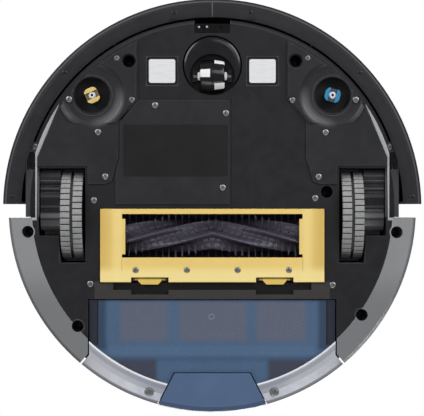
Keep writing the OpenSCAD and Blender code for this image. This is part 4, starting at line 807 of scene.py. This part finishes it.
def screw(x, y, z, sizes, length, turn):
    """A pan-head screw that points up: a cross recess in its lower face at z, and a threaded shank."""
    head_r, head_h, shank_r = sizes
    sides = 64

    def face_z(q, a):
        """Height of the lower face at q of the head's radius."""
        dome = 0.34 * head_h * (1 - math.sqrt(max(0, 1 - 0.92 * q * q)))
        u, v = q * head_r * math.cos(a - turn), q * head_r * math.sin(a - turn)
        arm_half, reach = 0.15 * head_r, 0.56 * head_r
        arm = 0
        for p, t in ((u, v), (v, u)):
            arm = max(arm, smoothstep(arm_half + 0.1, arm_half - 0.08, abs(t)) *
                      smoothstep(reach + 0.1, reach - 0.2, abs(p)))
        return z + dome + arm * 0.5 * head_h

    rings = []
    for q in (0.1, 0.16, 0.22, 0.28, 0.35, 0.42, 0.49, 0.55, 0.6, 0.68, 0.78, 0.88, 0.95, 1.0):
        rings.append([(q * head_r, TAU * k / sides, face_z(q, TAU * k / sides)) for k in range(sides)])
    top = z + head_h
    stack = [(head_r, top), (shank_r, top)]
    ridges = 2 * max(2, int(length / 0.9))
    for i in range(ridges):
        stack.append((shank_r - (0.0 if i % 2 else 0.22), top + length * (i + 0.6) / ridges))
    stack.append((shank_r * 0.4, top + length))
    for r, height in stack:
        rings.append([(r, TAU * k / sides, height) for k in range(sides)])

    verts, faces = [(x, y, face_z(0, 0))], []
    for ring in rings:
        verts += [(x + r * math.cos(a), y + r * math.sin(a), height) for r, a, height in ring]
    for k in range(sides):
        m = (k + 1) % sides
        faces.append((0, 1 + m, 1 + k))
        for i in range(len(rings) - 1):
            near, far = 1 + i * sides, 1 + (i + 1) * sides
            faces.append((near + k, near + m, far + m, far + k))
    faces.append(tuple(1 + (len(rings) - 1) * sides + k for k in range(sides)))
    return verts, faces


def screws(node, body, rows, material=mat_screw):
    """Screws in place of a CAD node. rows: x, y, z of each head, its sizes, and the shank's length."""
    verts, faces = joined([screw(*row, SCREW_TURNS.uniform(0, math.pi / 2)) for row in rows])
    piece(node[:-1] + "_set", verts, faces, body, material, [node])


module_screws = [(-70.2, -110.4), (-105.4, -80.2), (-59.3, -80), (-84.1, -56), (-78.7, -23.3),
                 (70.3, -110.4), (59.2, -79.6), (105.7, -79.8), (83.5, -55.8), (78.3, -23.1)]
door_screws = [(-42.1, -75.8), (10.1, -70), (7.7, -15.2)]
plate_screws = [(-87.2, -5.8), (-89.9, 55.8), (75.9, -7.4), (88.8, 56.6)]
shelf_screws = [(-131.3, -45.6), (131.3, -45.6)]
bumper_screws = [(28, -144.4), (109, -100), (147.6, -8.4)]
screws("base_screws", "chassis",
       [(x, y, MODULE_Z - 1.1, SMALL, 8) for x, y in module_screws] +
       [(x, y, BASE_Z - 2, SMALL, 8) for x, y in door_screws] +
       [(x, y, BASE_Z - 0.2, SMALL, 6) for x, y in plate_screws] +
       [(x, y, SHELF_Z - 0.4, SMALL, 3) for x, y in shelf_screws])
screws("case_screws", "chassis", [(x, y, 27.8, CASE, 39.6) for x, y in CASE_WELLS], material=mat_dark_screw)
screws("guard_screws", "guard", [(x, 45.6, 8.3, GUARD, 3.6) for x in (-56.4, -18.7, 18.7, 56.4)])
screws("bin_screws", "bin", [(x, 135.6, 10.6, BIN, 3) for x in (-46.6, 45.7)])
screws("bumper_screws", "bumper",
       [(s * x, y, 11.8, BUMPER, 4.6) for x, y in bumper_screws for s in (-1, 1)],
       mat_dark_screw)


# ---- caster wheel

def caster_wheel():
    """A crowned roller with a fine groove in its middle, staggered white marks and white hub ends."""
    lo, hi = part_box("caster_wheel")
    yc, zc = (lo.y + hi.y) / 2 / MM, (lo.z + hi.z) / 2 / MM
    half, r = hi.x / MM, (hi.z - lo.z) / 2 / MM
    tread = half - 1.8
    crown, round_r, plain = 1.3, 0.8, 1.6
    xs = [-tread, -tread + 0.25, -tread + round_r, -7.6, -plain, -0.25, -0.1,
          0.1, 0.25, plain, 7.6, tread - round_r, tread - 0.25, tread]
    profile = []
    for x in xs:
        inward = 1 - min(1, min(x + tread, tread - x) / round_r)
        drop = 0.9 * (1 - math.sqrt(max(0, 1 - inward ** 2))) + (0.25 if abs(x) < 0.2 else 0)
        profile.append((x, r - drop - crown * (x / tread) ** 2))
    profile += [(tread, 8), (tread, 3.2), (half - 0.2, 2.9), (half, 2.6), (half, 1.55),
                (-half, 1.55), (-half, 2.6), (-half + 0.2, 2.9), (-tread, 3.2), (-tread, 8)]
    steps, n = 144, len(profile)
    verts, faces = spun(profile, steps)
    marks = []
    for i in range(steps):
        # angle from straight down towards +Y, in degrees
        phi = 360 * (i + 0.5) / steps + 90
        for k in range(n):
            x = (profile[k][0] + profile[(k + 1) % n][0]) / 2
            hub = abs(x) > tread and profile[k][1] + profile[(k + 1) % n][1] < 6.6
            centres = (-62, 44, 164) if x > 0 else (-8, 104, 224)
            on_mark = any(abs((phi - c + 180) % 360 - 180) < 15 for c in centres)
            if hub or (k < len(xs) - 1 and abs(x) > plain and on_mark):
                marks.append(i * n + k)
    piece("caster_roller_wheel", moved(verts, 0, yc, zc), faces, "caster_roller",
          [mat_caster, mat_mark], ["caster_wheel"], marks)


caster_wheel()


# ---- main brush

ROWS = 6
# the CAD's tufts: the first one's distance from the middle, and the step and turn to the next
FIRST_TUFT, TUFT_STEP, TUFT_TURN = 7, 7.2, 10.5


def row_angle(x, row):
    """Angle of a bristle row at x, in degrees round the X axis from +Z."""
    return row * 60 + 30 + TUFT_TURN * (abs(x) - FIRST_TUFT) / TUFT_STEP


def roller_core():
    """The moulded roller: six full-bodied fins that twist towards the middle, with round ends and a shaft."""
    half, collar, shaft_end = 67, 64, 75
    shaft_r, collar_r, root_r, fin = 2.95, 11.5, 7.7, 4.9
    finned = [-63.8 + 127.6 * i / 76 for i in range(77)]
    xs = [-shaft_end, -67.01, -half, -66.6, -64.4, -collar] + finned + [collar, 64.4, 66.6, half]
    verts = []
    sides = 96
    for x in xs:
        for k in range(sides):
            a = 360 * k / sides
            if x < -67.005:
                r = shaft_r
            elif abs(x) >= collar:
                r = collar_r - (0.4 if abs(x) in (collar, half) else 0)
            else:
                wave = math.cos(math.radians(ROWS * (a - row_angle(x, 0.5))) / 2) ** 2
                r = root_r + fin * wave ** 2.6
            t = math.radians(a)
            verts.append((x, BRUSH_Y - r * math.sin(t), BRUSH_Z + r * math.cos(t)))
    piece("brush_roller", verts, skin(len(xs), sides), "main_brush", mat_roller,
          ["brush_core"])


def bristles():
    """Tufts of thin tapered strands along six twisted rows."""
    rnd = random.Random(11)
    tufts, pitch, strands = 13, 4.9, 11
    root, tip = 7.4, 19.3
    parts = []
    for s in (-1, 1):
        for row in range(ROWS):
            for i in range(tufts):
                x = s * (2.6 + i * pitch)
                a = math.radians(row_angle(x, row))
                for _ in range(strands):
                    lean_x, lean_a = rnd.uniform(-0.55, 0.55), rnd.uniform(-0.085, 0.085)
                    x0, a0 = x + rnd.uniform(-0.4, 0.4), a + rnd.uniform(-0.05, 0.05)
                    worn = tip - rnd.random() ** 2 * 1.8
                    pts = []
                    for q in (0, 0.4, 0.75, 1):
                        r = root + (worn - root) * q
                        aa = a0 + lean_a * q * q
                        pts.append((x0 + lean_x * q * q, -r * math.sin(aa), r * math.cos(aa)))
                    parts.append(strand(pts, 0.17, 0.08))
    verts, faces = joined(parts)
    piece("brush_strands", moved(verts, 0, BRUSH_Y, BRUSH_Z), faces, "main_brush", mat_bristle,
          ["brush_bristles"])


def strand(points, r0, r1):
    """A thin three-sided strand, tapered from r0 to r1."""
    verts, n = [], len(points)
    axis = (Vector(points[-1]) - Vector(points[0])).normalized()
    u = axis.orthogonal().normalized()
    v = axis.cross(u)
    for i, p in enumerate(points):
        r = r0 + (r1 - r0) * i / (n - 1)
        for k in range(3):
            a = TAU * k / 3
            verts.append(tuple(Vector(p) + u * (r * math.cos(a)) + v * (r * math.sin(a))))
    return verts, skin(n, 3)


roller_core()
bristles()


# ---- springs

def spring(base, axis, r, wire, turns, height):
    """A coil of round wire whose end turns lie flat."""
    steps = turns * 20
    up = Vector(axis)
    u = up.orthogonal().normalized()
    v = up.cross(u)
    pts = []
    for i in range(steps + 1):
        q = i / steps
        z = height * (smoothstep(0.02, 0.98, q) * 0.3 + q * 0.7)
        a = TAU * turns * q
        pts.append(Vector(base) + up * z + u * (r * math.cos(a)) + v * (r * math.sin(a)))
    return tube(pts, wire, 8)


def bumper_springs():
    """The bumper's two springs between it and the chassis, built at rest on the chassis."""
    x, z, ring_r, seat = 75, 40, 136.5, 3.8
    y = -math.sqrt(ring_r ** 2 - x ** 2) + seat
    verts, faces = joined([spring((s * x, y, z), (0, -1, 0), 3.2, 0.5, 5, 19) for s in (-1, 1)])
    coils = piece("bumper_spring_coils", verts, faces, "chassis", mat_spring,
                  ["bumper_springs"])
    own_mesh(coils)


def wheel_spring(side, stands_for):
    """A wheel spring between its arm and the chassis, built at rest."""
    lo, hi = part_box(f"wheel_gearbox_{side}")
    x, y = (lo.x + hi.x) / 2 / MM, 11
    verts, faces = spring((x, y, 46.8), (0, 0, 1), 3.6, 0.6, 6, 20)
    coils = piece(f"wheel_spring_coil_{side}", verts, faces, None, mat_spring, stands_for)
    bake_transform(coils)


bumper_springs()
wheel_spring("left", ["wheel_springs"])
wheel_spring("right", [])


# ---- stage

def floor():
    """A pale floor that shows only from above, so that the camera below it sees the part."""
    mesh = bpy.data.meshes.new("floor")
    half = 6.0
    corners = [(-half, -half, 0), (half, -half, 0), (half, half, 0), (-half, half, 0)]
    mesh.from_pydata(corners, [], [(0, 1, 2, 3)])
    m = Mat("floor")
    base = m.mix(m.varied(m.noise(3, 2)), (0.78, 0.78, 0.77, 1), (0.82, 0.82, 0.81, 1))
    m.finish(Base_Color=base, Roughness=0.7)
    clear = m.nt.nodes.new("ShaderNodeBsdfTransparent")
    geo = m.nt.nodes.new("ShaderNodeNewGeometry")
    both = m.nt.nodes.new("ShaderNodeMixShader")
    m.link(geo.outputs["Backfacing"], both.inputs[0])
    m.link(m.bsdf.outputs[0], both.inputs[1])
    m.link(clear.outputs[0], both.inputs[2])
    m.link(both.outputs[0], m.out.inputs[0])
    mesh.materials.append(m.mat)
    ob = bpy.data.objects.new("floor", mesh)
    bpy.context.scene.collection.objects.link(ob)
    ob.visible_shadow = False
    ob.visible_diffuse = False
    ob.visible_glossy = False
    ob.visible_transmission = False


floor()
